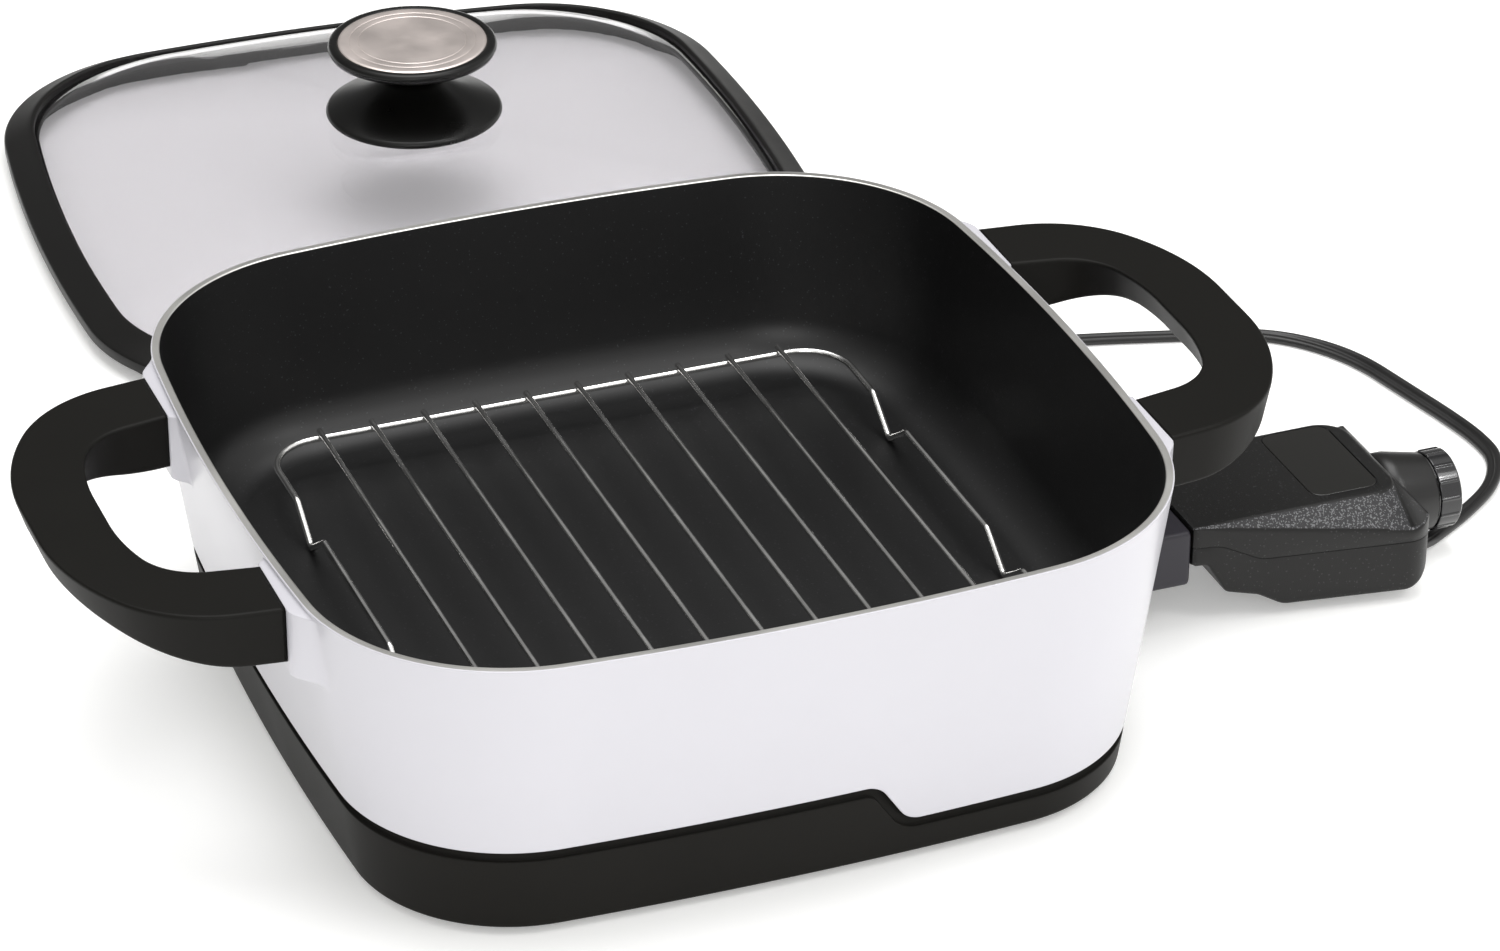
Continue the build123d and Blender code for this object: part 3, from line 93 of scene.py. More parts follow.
camera = bpy.data.objects.new("camera", bpy.data.cameras.new("camera"))
bpy.context.scene.collection.objects.link(camera)
bpy.context.scene.camera = camera
camera.data.lens = CAMERA_LENS
camera.data.sensor_width = 36.0
ahead = np.array((
    math.sin(CAMERA_YAW) * math.cos(CAMERA_DOWN),
    math.cos(CAMERA_YAW) * math.cos(CAMERA_DOWN),
    -math.sin(CAMERA_DOWN),
))
level_right = np.array((math.cos(CAMERA_YAW), -math.sin(CAMERA_YAW), 0.0))
camera.matrix_world = facing(CAMERA_PLACE, ahead, level_right, CAMERA_ROLL)


def add_lamp(name, kind, place, aim, power, **settings):
    """A lamp at place that looks at aim, with the settings of its kind."""
    light = bpy.data.lights.new(name, kind)
    light.energy = power
    for setting, value in settings.items():
        setattr(light, setting, value)
    lamp = bpy.data.objects.new(name, light)
    bpy.context.scene.collection.objects.link(lamp)
    towards = unit(np.subtract(aim, place))
    side = unit(np.cross(towards, (0.0, 0.001, 1.0)))
    lamp.matrix_world = facing(place, towards, side)


for name, place, aim, size, power in (
    ("lamp_above", (0.10, 0.35, 2.1), (0.0, 0.05, 0.0), 1.5, 26.0),
    ("lamp_front_right", (1.05, -1.07, 1.9), (0.15, 0.0, 0.05), 0.8, 7.0),
    ("lamp_front_left", (-0.7, -1.9, 1.2), (-0.1, 0.0, 0.05), 1.0, 8.0),
):
    add_lamp(name, "AREA", place, aim, power, shape="SQUARE", size=size)
add_lamp("control_beam", "SPOT", (1.13, -1.09, 1.87), (0.250, -0.020, 0.032), 110.0,
         spot_size=math.radians(3.8), spot_blend=1.0, shadow_soft_size=0.20)


def node(tree, kind, inputs=None, **settings):
    """A shader node with its settings; each input is a plain value or a socket to link."""
    made = tree.nodes.new("ShaderNode" + kind)
    for name, value in settings.items():
        setattr(made, name, value)
    for name, value in (inputs or {}).items():
        if isinstance(value, bpy.types.NodeSocket):
            tree.links.new(value, made.inputs[name])
        else:
            made.inputs[name].default_value = value
    return made


def new_material(name, **sockets):
    """A material with one Principled shader that has these socket values."""
    material = bpy.data.materials.new(name)
    material.use_nodes = True
    shader = material.node_tree.nodes["Principled BSDF"]
    for socket, value in sockets.items():
        shader.inputs[socket.replace("_", " ")].default_value = value
    return material, material.node_tree, shader


def ramp(tree, value, start, end, low=0.0, high=1.0, kind="LINEAR"):
    """Socket that goes from low to high while the value goes from start to end."""
    return node(tree, "MapRange", {
        "Value": value, "From Min": start, "From Max": end, "To Min": low, "To Max": high},
        interpolation_type=kind).outputs["Result"]


def combined(tree, operation, first, second):
    """Socket of two values combined by a Math node."""
    return node(tree, "Math", {0: first, 1: second}, operation=operation).outputs[0]


world = bpy.data.worlds.new("room")
world.use_nodes = True
room = world.node_tree
background = room.nodes["Background"]
background.inputs["Color"].default_value = ROOM_COLOUR
towards = node(room, "SeparateXYZ", {"Vector": node(room, "TexCoord").outputs["Generated"]})
far_side = ramp(room, towards.outputs["Y"], *FAR_SIDE, kind="SMOOTHSTEP")
left_side = ramp(
    room, towards.outputs["X"], *LEFT_SIDE, high=LEFT_SIDE_SHARE, kind="SMOOTHSTEP")
below_lamps = ramp(room, towards.outputs["Z"], *DARK_BELOW, kind="SMOOTHSTEP")
dark_share = combined(
    room, "MULTIPLY", combined(room, "MAXIMUM", far_side, left_side), below_lamps)
room_light = ramp(room, dark_share, 0.0, 1.0, ROOM_LIGHT, DARK_SIDE_LIGHT)
room.links.new(room_light, background.inputs["Strength"])
bpy.context.scene.world = world
bpy.context.scene.view_settings.view_transform = "Standard"

floor_mesh = bpy.data.meshes.new("floor")
floor_corners = [(-FLOOR_HALF, -FLOOR_HALF, 0.0), (FLOOR_HALF, -FLOOR_HALF, 0.0),
                 (FLOOR_HALF, FLOOR_HALF, 0.0), (-FLOOR_HALF, FLOOR_HALF, 0.0)]
floor_mesh.from_pydata(floor_corners, [], [(0, 1, 2, 3)])
floor = bpy.data.objects.new("floor", floor_mesh)
bpy.context.scene.collection.objects.link(floor)
floor_mesh.materials.append(
    new_material("pale_floor", Base_Color=FLOOR_COLOUR, Roughness=0.9, Specular_IOR_Level=0.2,
                 Emission_Color=FLOOR_COLOUR, Emission_Strength=FLOOR_GLOW)[0])
floor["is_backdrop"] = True

# Pan ---------------------------------------------------------------------------------
# One aluminium casting: a tapered square vessel with bowed sides, open at the top.
# Outside it has a pale lavender enamel, inside a black nonstick coat; the rim is bare
# metal, turned flat. Its skirt drops in an S on the control side, and four flat bosses
# carry the handles.

FOOT_LEVEL = 0.003
RIM_LEVEL = 0.109
RIM_HALF = 0.153
FOOT_HALF = 0.1367
RIM_SIDE_RADIUS = 1.001
FOOT_SIDE_RADIUS = 1.405
RIM_CORNER_RADIUS = 0.0724
FOOT_CORNER_RADIUS = 0.055
PAN_WALL = 0.003
COOKING_LEVEL = 0.0385
COOKING_FILLET = 0.016
UNDERSIDE_LEVEL = 0.0345
SEAT_GAP = 0.0001
SKIRT_EDGE_HIGH = 0.0345
SKIRT_EDGE_LOW = 0.0172
STEP_START = 0.0255
STEP_RUN = 0.0115
STEP_RADIUS = 0.009
RIM_ROUNDING = 0.0005
EDGE_ROUNDING = 0.0007
BOSS_FACE = 0.154
BOSS_SIDES = (0.0515, 0.0825)
BOSS_LEVELS = (0.0835, 0.1070)
BOSS_BLENDS = (0.0022, 0.0110)        # towards the middle of the side, and to the corner
BOSS_TOP_BLEND = 0.0007
BOSS_FOOT_BLEND = 0.0040
BOSS_TOP_ROWS = (0.1081, 0.1079, 0.1077, 0.1075, 0.1073, 0.1071, 0.1069, 0.1060, 0.1040)
BOSS_ROWS = (0.1010, 0.0860, 8)       # from, to, how many
BOSS_FOOT_ROWS = (0.0845, 0.0785, 9)
SIDE_SHARE = 0.6                      # of each quarter turn round the vessel
SIDE_COLUMNS = 140
CORNER_COLUMNS = 46

PAN_COLOUR = (0.590, 0.582, 0.622, 1.0)
BARE_METAL = (0.74, 0.73, 0.70, 1.0)
NONSTICK_COLOUR = (0.0042, 0.0042, 0.0044, 1.0)
CAST_COLOUR = (0.42, 0.42, 0.42, 1.0)


def ease(values, start, end):
    """Smooth step: 0 up to start, 1 from end on, level at both."""
    share = np.clip((values - start) / (end - start), 0.0, 1.0)
    return share * share * (3.0 - 2.0 * share)


def rounded_line(corners, radii, arc_steps=8):
    """Polyline with an arc at each inner corner: the arc starts radius / tan(half the angle
    between the two sides) from the corner, and its points are spaced evenly by angle."""
    corners = np.asarray(corners, float)
    pieces = [corners[:1]]
    for before, here, after, radius in zip(corners, corners[1:], corners[2:], radii):
        back, on = unit(before - here), unit(after - here)
        half_angle = math.acos(np.clip(np.dot(back, on), -1.0, 1.0)) / 2.0
        reach = radius / math.tan(half_angle)
        centre = here + unit(back + on) * radius / math.sin(half_angle)
        first, last = here + back * reach - centre, here + on * reach - centre
        turn = math.pi - 2.0 * half_angle
        share = np.linspace(0.0, 1.0, arc_steps)[:, None]
        arc = np.sin((1.0 - share) * turn) * first + np.sin(share * turn) * last
        pieces.append(centre + arc / math.sin(turn))
    pieces.append(corners[-1:])
    return np.vstack(pieces)


def around_places(side_columns, corner_columns):
    """Places round a bowed square, in quarter turns: 0 to 0.6 of each quarter is the side
    that faces it, and 0.6 to 1 the corner after that side."""
    side = np.arange(side_columns) / side_columns * SIDE_SHARE
    corner = SIDE_SHARE + np.arange(corner_columns) / corner_columns * (1.0 - SIDE_SHARE)
    quarter = np.concatenate([side, corner])
    return (np.arange(4)[:, None] + quarter).ravel()


def bowed_square(half, side_radius, corner_radius, around):
    """X and Y round a square with bowed sides: each side is an arc of side_radius about a
    point beyond the middle, each corner an arc of corner_radius tangent to both sides."""
    reach = side_radius - half
    to_corner = side_radius - corner_radius
    middle = (np.sqrt(2.0 * to_corner**2 - reach**2) - reach) / 2.0
    split = np.arctan2(middle, middle + reach)
    quarter = np.floor(around)
    along = (around - quarter) / SIDE_SHARE
    past = (along - 1.0) * SIDE_SHARE / (1.0 - SIDE_SHARE)
    on_side = along < 1.0
    turn = np.where(
        on_side, (2.0 * along - 1.0) * split, split + past * (math.pi / 2.0 - 2.0 * split))
    radius = np.where(on_side, side_radius, corner_radius)
    x = radius * np.cos(turn) + np.where(on_side, -reach, middle)
    y = radius * np.sin(turn) + np.where(on_side, 0.0, middle)
    spin = quarter * math.pi / 2.0
    return x * np.cos(spin) - y * np.sin(spin), x * np.sin(spin) + y * np.cos(spin)


def vessel(levels, insets, around, shares=1.0):
    """Points of the shape that pan and base share: at each level its bowed square, whose
    half width and radii change evenly with height, moved in by inset, times share."""
    rise = (levels - FOOT_LEVEL) / (RIM_LEVEL - FOOT_LEVEL)
    half = FOOT_HALF + (RIM_HALF - FOOT_HALF) * rise
    side_radius = FOOT_SIDE_RADIUS + (RIM_SIDE_RADIUS - FOOT_SIDE_RADIUS) * rise
    corner_radius = FOOT_CORNER_RADIUS + (RIM_CORNER_RADIUS - FOOT_CORNER_RADIUS) * rise
    x, y = bowed_square(half - insets, side_radius - insets, corner_radius - insets, around)
    return np.stack([x * shares, y * shares, np.broadcast_to(levels, x.shape)], axis=-1)


def stepped_edge(drop, shift, radii, around):
    """Height of the stepped edge round the vessel: high on the left, an S down between
    the step's start and end, low on the right. The edge's own X is found by repetition."""
    high, low = SKIRT_EDGE_HIGH - drop, SKIRT_EDGE_LOW - drop
    start = STEP_START - shift
    corners = [(-1.0, high), (start, high), (start + STEP_RUN, low), (1.0, low)]
    line = rounded_line(corners, radii, arc_steps=16)
    edge = np.full(around.shape, high)
    for _ in range(8):
        edge = np.interp(vessel(edge, 0.0, around)[:, 0], line[:, 0], line[:, 1])
    return edge


def rows_of(*parts):
    """Rows of (inset, level, share) for a grid, from values that may differ by column."""
    columns = len(pan_around)
    return [np.stack([np.broadcast_to(value, columns) for value in part]) for part in parts]


def quarter_turn(radius, steps=5):
    """(across, along) offsets of a rounded edge: from (0, radius) round to (radius, 0)."""
    turn = np.linspace(0.0, math.pi / 2.0, steps)
    return [(radius * (1.0 - math.cos(a)), radius * (1.0 - math.sin(a))) for a in turn]


def grid_faces(rows, columns, round_columns=True):
    """Quads of a grid of rows and columns; round columns join the last to the first."""
    row = np.arange(rows - 1)[:, None]
    column = np.arange(columns if round_columns else columns - 1)[None, :]
    beside = (column + 1) % columns
    quads = [row * columns + column, row * columns + beside,
             (row + 1) * columns + beside, (row + 1) * columns + column]
    return np.stack(np.broadcast_arrays(*quads), axis=-1).reshape(-1, 4)


def new_piece(name, body, grids, materials, replaced=(), inside=None):
    """A smooth mesh from grids of points. Each grid is (points, row materials, round).
    Near points are merged and faces turned outwards: all of a closed mesh together, or
    away from the point inside for an open sheet. Weighted normals keep flats flat."""
    points, faces, numbers, first = [], [], [], 0
    for grid, row_materials, is_round in grids:
        rows, columns = grid.shape[:2]
        quads = grid_faces(rows, columns, is_round)
        per_row = len(quads) // (rows - 1)
        points.append(grid.reshape(-1, 3))
        faces.append(quads + first)
        numbers.append(np.repeat(np.broadcast_to(row_materials, rows - 1), per_row))
        first += rows * columns
    mesh = bpy.data.meshes.new(name)
    mesh.from_pydata(np.concatenate(points), [], np.concatenate(faces))
    mesh.polygons.foreach_set("material_index", np.concatenate(numbers).astype(np.int32))
    mesh.polygons.foreach_set("use_smooth", np.ones(len(mesh.polygons), bool))
    work = bmesh.new()
    work.from_mesh(mesh)
    bmesh.ops.remove_doubles(work, verts=work.verts, dist=2e-6)
    if inside is None:
        bmesh.ops.recalc_face_normals(work, faces=work.faces)
    work.to_mesh(mesh)
    work.free()
    if inside is not None:
        turn_outwards(mesh, inside)
    for material in materials:
        mesh.materials.append(material)
    piece = bpy.data.objects.new(name, mesh)
    bpy.context.scene.collection.objects.link(piece)
    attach(piece, body)
    if replaced:
        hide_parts(*replaced)
    piece.modifiers.new("even_flats", "WEIGHTED_NORMAL")
    return piece


def closed_piece(name, body, grid, material, stands_for):
    """A piece of one finish from one closed grid, round in its columns."""
    return new_piece(name, body, [(grid, 0, True)], [material], [stands_for])


def turn_outwards(mesh, inside):
    """Flips an open sheet whose faces look, on the whole, towards the point inside."""
    count = len(mesh.polygons)
    normals, centres, areas = np.empty(count * 3), np.empty(count * 3), np.empty(count)
    mesh.polygons.foreach_get("normal", normals)
    mesh.polygons.foreach_get("center", centres)
    mesh.polygons.foreach_get("area", areas)
    away = ((centres.reshape(-1, 3) - inside) * normals.reshape(-1, 3)).sum(axis=1)
    if (away * areas).sum() < 0.0:
        mesh.flip_normals()


def make_surface_grain():
    """Node group of what every finish here has: a fine grain for the bump, slow patches
    that shift colour and gloss a little, and pinpoint specks."""
    group = bpy.data.node_groups.new("surface_grain", "ShaderNodeTree")
    for name, kind, default in (
        ("Colour", "Color", (0.8, 0.8, 0.8, 1.0)), ("Speck Colour", "Color", (1, 1, 1, 1)),
        ("Shade Change", "Float", 0.06), ("Smooth", "Float", 0.4), ("Rough", "Float", 0.5),
        ("Grain Scale", "Float", 1500.0), ("Patch Scale", "Float", 22.0),
        ("Speck Share", "Float", 0.0),
    ):
        socket = group.interface.new_socket(
            name=name, in_out="INPUT", socket_type="NodeSocket" + kind)
        socket.default_value = default
    for name, kind in (("Colour", "Color"), ("Roughness", "Float"), ("Height", "Float")):
        group.interface.new_socket(
            name=name, in_out="OUTPUT", socket_type="NodeSocket" + kind)
    given = group.nodes.new("NodeGroupInput").outputs
    result = group.nodes.new("NodeGroupOutput").inputs
    place = node(group, "TexCoord").outputs["Object"]
    grain = node(group, "TexNoise", {
        "Vector": place, "Scale": given["Grain Scale"], "Detail": 3.0})
    patches = node(group, "TexNoise", {
        "Vector": place, "Scale": given["Patch Scale"], "Detail": 4.0}).outputs["Fac"]
    rough = ramp(group, patches, 0.3, 0.7, given["Smooth"], given["Rough"])
    low = combined(group, "SUBTRACT", 1.0, given["Shade Change"])
    high = combined(group, "ADD", 1.0, given["Shade Change"])
    shade = ramp(group, patches, 0.3, 0.7, low, high)
    shaded = node(group, "VectorMath", {0: given["Colour"], "Scale": shade}, operation="SCALE")
    flecks = node(group, "TexVoronoi", {"Vector": place, "Scale": given["Grain Scale"]})
    lot = node(group, "SeparateColor", {"Color": flecks.outputs["Color"]}).outputs["Red"]
    mixed = node(group, "Mix", {
        "Factor": combined(group, "LESS_THAN", lot, given["Speck Share"]),
        "A": shaded.outputs["Vector"], "B": given["Speck Colour"]}, data_type="RGBA")
    group.links.new(mixed.outputs["Result"], result["Colour"])
    group.links.new(rough, result["Roughness"])
    group.links.new(grain.outputs["Fac"], result["Height"])
    return group


def finish(name, colour, smooth, rough, grain, depth, patches=22.0, change=0.06,
           specks=0.0, speck_colour=(1.0, 1.0, 1.0, 1.0), **sockets):
    """A finish with its own grain: scale per metre, bump depth in metres, gloss range."""
    material, tree, shader = new_material(name, **sockets)
    skin = node(tree, "Group", node_tree=SURFACE_GRAIN)
    values = {"Colour": colour, "Speck Colour": speck_colour, "Shade Change": change,
              "Smooth": smooth, "Rough": rough, "Grain Scale": grain,
              "Patch Scale": patches, "Speck Share": specks}
    for socket, value in values.items():
        skin.inputs[socket].default_value = value
    bump = node(tree, "Bump", {"Height": skin.outputs["Height"], "Distance": depth})
    tree.links.new(skin.outputs["Colour"], shader.inputs["Base Color"])
    tree.links.new(skin.outputs["Roughness"], shader.inputs["Roughness"])
    tree.links.new(bump.outputs["Normal"], shader.inputs["Normal"])
    return material


SURFACE_GRAIN = make_surface_grain()
pan_enamel = finish(
    "pan_enamel", PAN_COLOUR, 0.30, 0.36, 420.0, 0.000012, change=0.008,
    Coat_Weight=0.25, Coat_Roughness=0.12)
rim_metal = finish(
    "rim_metal", BARE_METAL, 0.32, 0.42, 2600.0, 0.00002, change=0.04, Metallic=1.0)
nonstick = finish(
    "nonstick", NONSTICK_COLOUR, 0.36, 0.42, 2400.0, 0.00003, patches=9.0, change=0.10,
    specks=0.008, speck_colour=(0.030, 0.030, 0.033, 1.0), Specular_IOR_Level=0.45)
cast_metal = finish(
    "cast_metal", CAST_COLOUR, 0.45, 0.6, 700.0, 0.00012, change=0.12, Metallic=1.0)


def draw_bosses(points):
    """Draws the side walls out to the flat handle bosses: X moves to the boss's face by a
    weight that is 1 on the boss and fades smoothly beyond its sides, foot and top."""
    x, y, z = points[..., 0], np.abs(points[..., 1]), points[..., 2]
    inner, outer = BOSS_SIDES
    foot, top = BOSS_LEVELS
    weight = ease(y, inner - BOSS_BLENDS[0], inner) * (1.0 - ease(y, outer, outer + BOSS_BLENDS[1]))
    weight = weight * ease(z, foot - BOSS_FOOT_BLEND, foot)
    weight = weight * (1.0 - ease(z, top, top + BOSS_TOP_BLEND))
    weight = weight * (np.abs(x) > FOOT_HALF * 0.8)
    drawn = points.copy()
    drawn[..., 0] = x + np.sign(x) * (BOSS_FACE - np.abs(x)) * weight
    return drawn


pan_around = around_places(SIDE_COLUMNS, CORNER_COLUMNS)
pan_edge = stepped_edge(0.0, 0.0, (STEP_RADIUS, STEP_RADIUS), pan_around)
floor_inset = PAN_WALL + COOKING_FILLET
inside_rows = rows_of(*[(floor_inset, COOKING_LEVEL, share) for share in np.linspace(0, 1, 14)])
for turn in np.linspace(0.0, math.pi / 2.0, 11)[1:]:
    inside_rows += rows_of((
        floor_inset - COOKING_FILLET * math.sin(turn),
        COOKING_LEVEL + COOKING_FILLET * (1.0 - math.cos(turn)), 1.0))
wall_start = COOKING_LEVEL + COOKING_FILLET
for level in np.linspace(wall_start, RIM_LEVEL - RIM_ROUNDING, 16)[1:]:
    inside_rows += rows_of((PAN_WALL, level, 1.0))
rim_rows = []
for across, along in quarter_turn(RIM_ROUNDING)[1:]:
    rim_rows += rows_of((PAN_WALL - across, RIM_LEVEL - along, 1.0))
for across, along in reversed(quarter_turn(RIM_ROUNDING)):
    rim_rows += rows_of((across, RIM_LEVEL - along, 1.0))
outside_rows = []
boss_levels = [*BOSS_TOP_ROWS, *np.linspace(*BOSS_ROWS), *np.linspace(*BOSS_FOOT_ROWS)]
for level in boss_levels:
    outside_rows += rows_of((0.0, level, 1.0))
wall_low = pan_edge + EDGE_ROUNDING
for share in np.linspace(0.0, 1.0, 20)[1:]:
    outside_rows += rows_of((0.0, boss_levels[-1] * (1.0 - share) + wall_low * share, 1.0))
for across, along in quarter_turn(EDGE_ROUNDING)[1:]:
    outside_rows += rows_of((across, pan_edge + along, 1.0))
under_level = UNDERSIDE_LEVEL + SEAT_GAP
under_rows = rows_of((PAN_WALL, pan_edge, 1.0), (PAN_WALL, under_level, 1.0))
under_rows += rows_of(*[
    (floor_inset, under_level, share) for share in np.linspace(1, 0, 10)])
pan_rows = np.stack(inside_rows + rim_rows + outside_rows + under_rows)
pan_points = vessel(pan_rows[:, 1], pan_rows[:, 0], pan_around, pan_rows[:, 2])
outer_from = len(inside_rows) + len(rim_rows)
outer_to = outer_from + len(outside_rows)
pan_points[outer_from - 5:outer_to] = draw_bosses(pan_points[outer_from - 5:outer_to])
coats = np.repeat([1, 2, 0, 3], [
    len(inside_rows), len(rim_rows) - 5, len(outside_rows) + 5, len(under_rows)])[:-1]
new_piece(
    "pan_casting", "skillet", [(pan_points, coats, True)],
    [pan_enamel, nonstick, rim_metal, cast_metal], ["pan"])

# Base ring ---------------------------------------------------------------------------
# A satin black moulding under the pan, screwed up into it. Its top edge follows the
# pan's S and leaves a shadow gap, in which a set-back lip carries the pan. An inward
# flange stiffens its foot and holds the four rubber feet.

REVEAL = 0.0035
REVEAL_SHIFT = 0.0019
REVEAL_DEPTH = 0.0020
BASE_STEP_RADII = (0.0055, 0.0125)
LIP_WALL = 0.0025
FLANGE_WIDTH = 0.025
FLANGE_TOP = 0.006
BASE_FOOT_ROUNDING = 0.0012
BASE_EDGE_ROUNDING = 0.0006
BASE_COLOUR = (0.0105, 0.0099, 0.0086, 1.0)

base_plastic = finish(
    "base_plastic", BASE_COLOUR, 0.42, 0.50, 1900.0, 0.00002, patches=16.0, change=0.10,
    Specular_IOR_Level=0.07)
base_edge = stepped_edge(REVEAL, REVEAL_SHIFT, BASE_STEP_RADII, pan_around)
base_rows = []
for across, along in reversed(quarter_turn(BASE_FOOT_ROUNDING)):
    base_rows += rows_of((across, FOOT_LEVEL + along, 1.0))
wall_foot, wall_top = FOOT_LEVEL + BASE_FOOT_ROUNDING, base_edge - BASE_EDGE_ROUNDING
for share in np.linspace(0.0, 1.0, 8)[1:]:
    base_rows += rows_of((0.0, wall_foot * (1.0 - share) + wall_top * share, 1.0))
for across, along in quarter_turn(BASE_EDGE_ROUNDING)[1:]:
    base_rows += rows_of((across, base_edge - along, 1.0))
lip_top = pan_edge - SEAT_GAP
base_rows += rows_of(
    (REVEAL_DEPTH, base_edge, 1.0), (REVEAL_DEPTH, lip_top, 1.0),
    (REVEAL_DEPTH + LIP_WALL, lip_top, 1.0), (REVEAL_DEPTH + LIP_WALL, FLANGE_TOP, 1.0),
    (FLANGE_WIDTH, FLANGE_TOP, 1.0), (FLANGE_WIDTH, FOOT_LEVEL, 1.0),
    (BASE_FOOT_ROUNDING, FOOT_LEVEL, 1.0))
base_rows = np.stack(base_rows)
base_points = vessel(base_rows[:, 1], base_rows[:, 0], pan_around)
closed_piece(
    "base_ring", "skillet", base_points, base_plastic, "base_skirt")


def show(node_name, material):
    """Gives a CAD piece that stays visible its own finish."""
    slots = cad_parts[node_name].data.materials
    slots.clear()
    slots.append(material)


foot_rubber = finish("foot_rubber", (0.016, 0.016, 0.016, 1.0), 0.7, 0.85, 1400.0, 0.00005)
plated_steel = finish(
    "plated_steel", (0.60, 0.60, 0.62, 1.0), 0.22, 0.34, 2200.0, 0.00001, Metallic=1.0)
show("base_feet", foot_rubber)
show("base_screws", plated_steel)

# Handles -----------------------------------------------------------------------------
# Two loops of satin phenolic, each moulded in one piece: flat on top, thinner at the bar
# than at the roots, with softened edges. Their square roots butt against the pan's
# bosses and are held by screws from below.

HANDLE_TOP = 0.107
HANDLE_BOTTOM = 0.087
HANDLE_ROOT_OUTER = 0.0816
HANDLE_ROOT_INNER = 0.0524
HANDLE_SHOULDER = (0.1911, 0.0772)
HANDLE_REACH = (0.2165, 0.0357)
HANDLE_OUTER_RADII = (0.0478, 0.088)
HANDLE_INNER_SHOULDER = (0.1836, 0.0472)
HANDLE_INNER_REACH = (0.1911, 0.0209)
HANDLE_INNER_RADII = (0.023, 0.085)
HANDLE_LEAN = (0.0030, -0.0036)       # outer and inner walls, in towards the pan at the foot
HANDLE_OUTER_RISE = (0.1667, 0.240, 0.0144)       # the lower edges: from X, to X, rise
HANDLE_INNER_RISE = (0.154, 0.1909, 0.0076)
HANDLE_ROUNDING = 0.0016
HANDLE_COLUMNS = 150
SCREW_HOLE_X = 0.162
SCREW_HOLE_Y = 0.0670
SCREW_HOLE_RADIUS = 0.0047
SCREW_HOLE_DEPTH = 0.0038
HANDLE_COLOUR = (0.0040, 0.0036, 0.0026, 1.0)


def loop_side(root, shoulder, reach, radii, cut):
    """One edge of the loop in plan: from the front root round its two front bends and two
    back bends to the back root, with straight runs between the arcs."""
    bends = [(shoulder[0] - cut, shoulder[1]), (reach[0] - cut, reach[1])]
    corners = [(BOSS_FACE, -root)] + [(x, -y) for x, y in bends]
    corners += [(x, y) for x, y in reversed(bends)] + [(BOSS_FACE, root)]
    return spaced(rounded_line(corners, [*radii, *reversed(radii)], 24), HANDLE_COLUMNS)


def spaced(line, count):
    """count points along a line, evenly spaced by length."""
    steps = np.linalg.norm(np.diff(line, axis=0), axis=1)
    length = np.concatenate([[0.0], np.cumsum(steps)])
    wanted = np.linspace(0.0, length[-1], count)
    return np.stack([np.interp(wanted, length, axis) for axis in line.T], axis=-1)


def soft_section(corners, radii, steps=6):
    """Closed sections with soft corners: each corner P becomes the curve
    P + (1 - s)^2 d a + s^2 d b, with a and b along its two sides and d its radius, at most
    0.45 of the shorter side. A radius of 0 leaves the corner sharp."""
    corners = np.asarray(corners, float)
    to_before = np.roll(corners, 1, axis=-2) - corners
    to_after = np.roll(corners, -1, axis=-2) - corners
    shorter = np.minimum(
        np.linalg.norm(to_before, axis=-1), np.linalg.norm(to_after, axis=-1))
    reach = np.minimum(np.asarray(radii), 0.45 * shorter)[..., None, None]
    s = np.linspace(0.0, 1.0, steps)[:, None]
    back, on = unit(to_before)[..., None, :], unit(to_after)[..., None, :]
    curves = corners[..., None, :] + reach * ((1.0 - s) ** 2 * back + s**2 * on)
    return curves.reshape(*curves.shape[:-3], -1, 3)


def at_level(line, level):
    """A plan line as points at one height, or at a height for each point."""
    return np.column_stack([line, np.broadcast_to(level, len(line))])


def capped(grid):
    """A grid of closed sections with both ends closed by a fan to their middle."""
    first, last = grid[:1].mean(axis=1, keepdims=True), grid[-1:].mean(axis=1, keepdims=True)
    spread = np.ones_like(grid[:1])
    return np.concatenate([first * spread, grid, last * spread])


def drilled(piece, holes):
    """Cuts upright round holes, given as (x, y, radius, low, high), out of a piece."""
    turn = np.linspace(0.0, 2.0 * math.pi, 33)[:-1]
    grids = []
    for x, y, radius, low, high in holes:
        rows = [(0.0, low), (radius, low), (radius, high), (0.0, high)]
        grids.append((np.stack([np.stack([
            x + reach * np.cos(turn), y + reach * np.sin(turn), np.full(32, level)],
            axis=-1) for reach, level in rows]), 0, True))
    cutter = new_piece("cutter", "skillet", grids, [])
    carve(piece, cutter)


def carve(piece, cutter):
    """Takes the cutter's solid out of a piece, then removes the cutter. The piece's other
    modifiers but its weighted normals are applied with the cut."""
    piece.modifiers.remove(piece.modifiers["even_flats"])
    cut = piece.modifiers.new("cut", "BOOLEAN")
    cut.operation = "DIFFERENCE"
    cut.solver = "EXACT"
    cut.object = cutter
    bpy.context.view_layer.update()
    graph = bpy.context.evaluated_depsgraph_get()
    carved = bpy.data.meshes.new_from_object(piece.evaluated_get(graph))
    piece.modifiers.clear()
    piece.data = carved
    piece.modifiers.new("even_flats", "WEIGHTED_NORMAL")
    bpy.data.objects.remove(cutter)


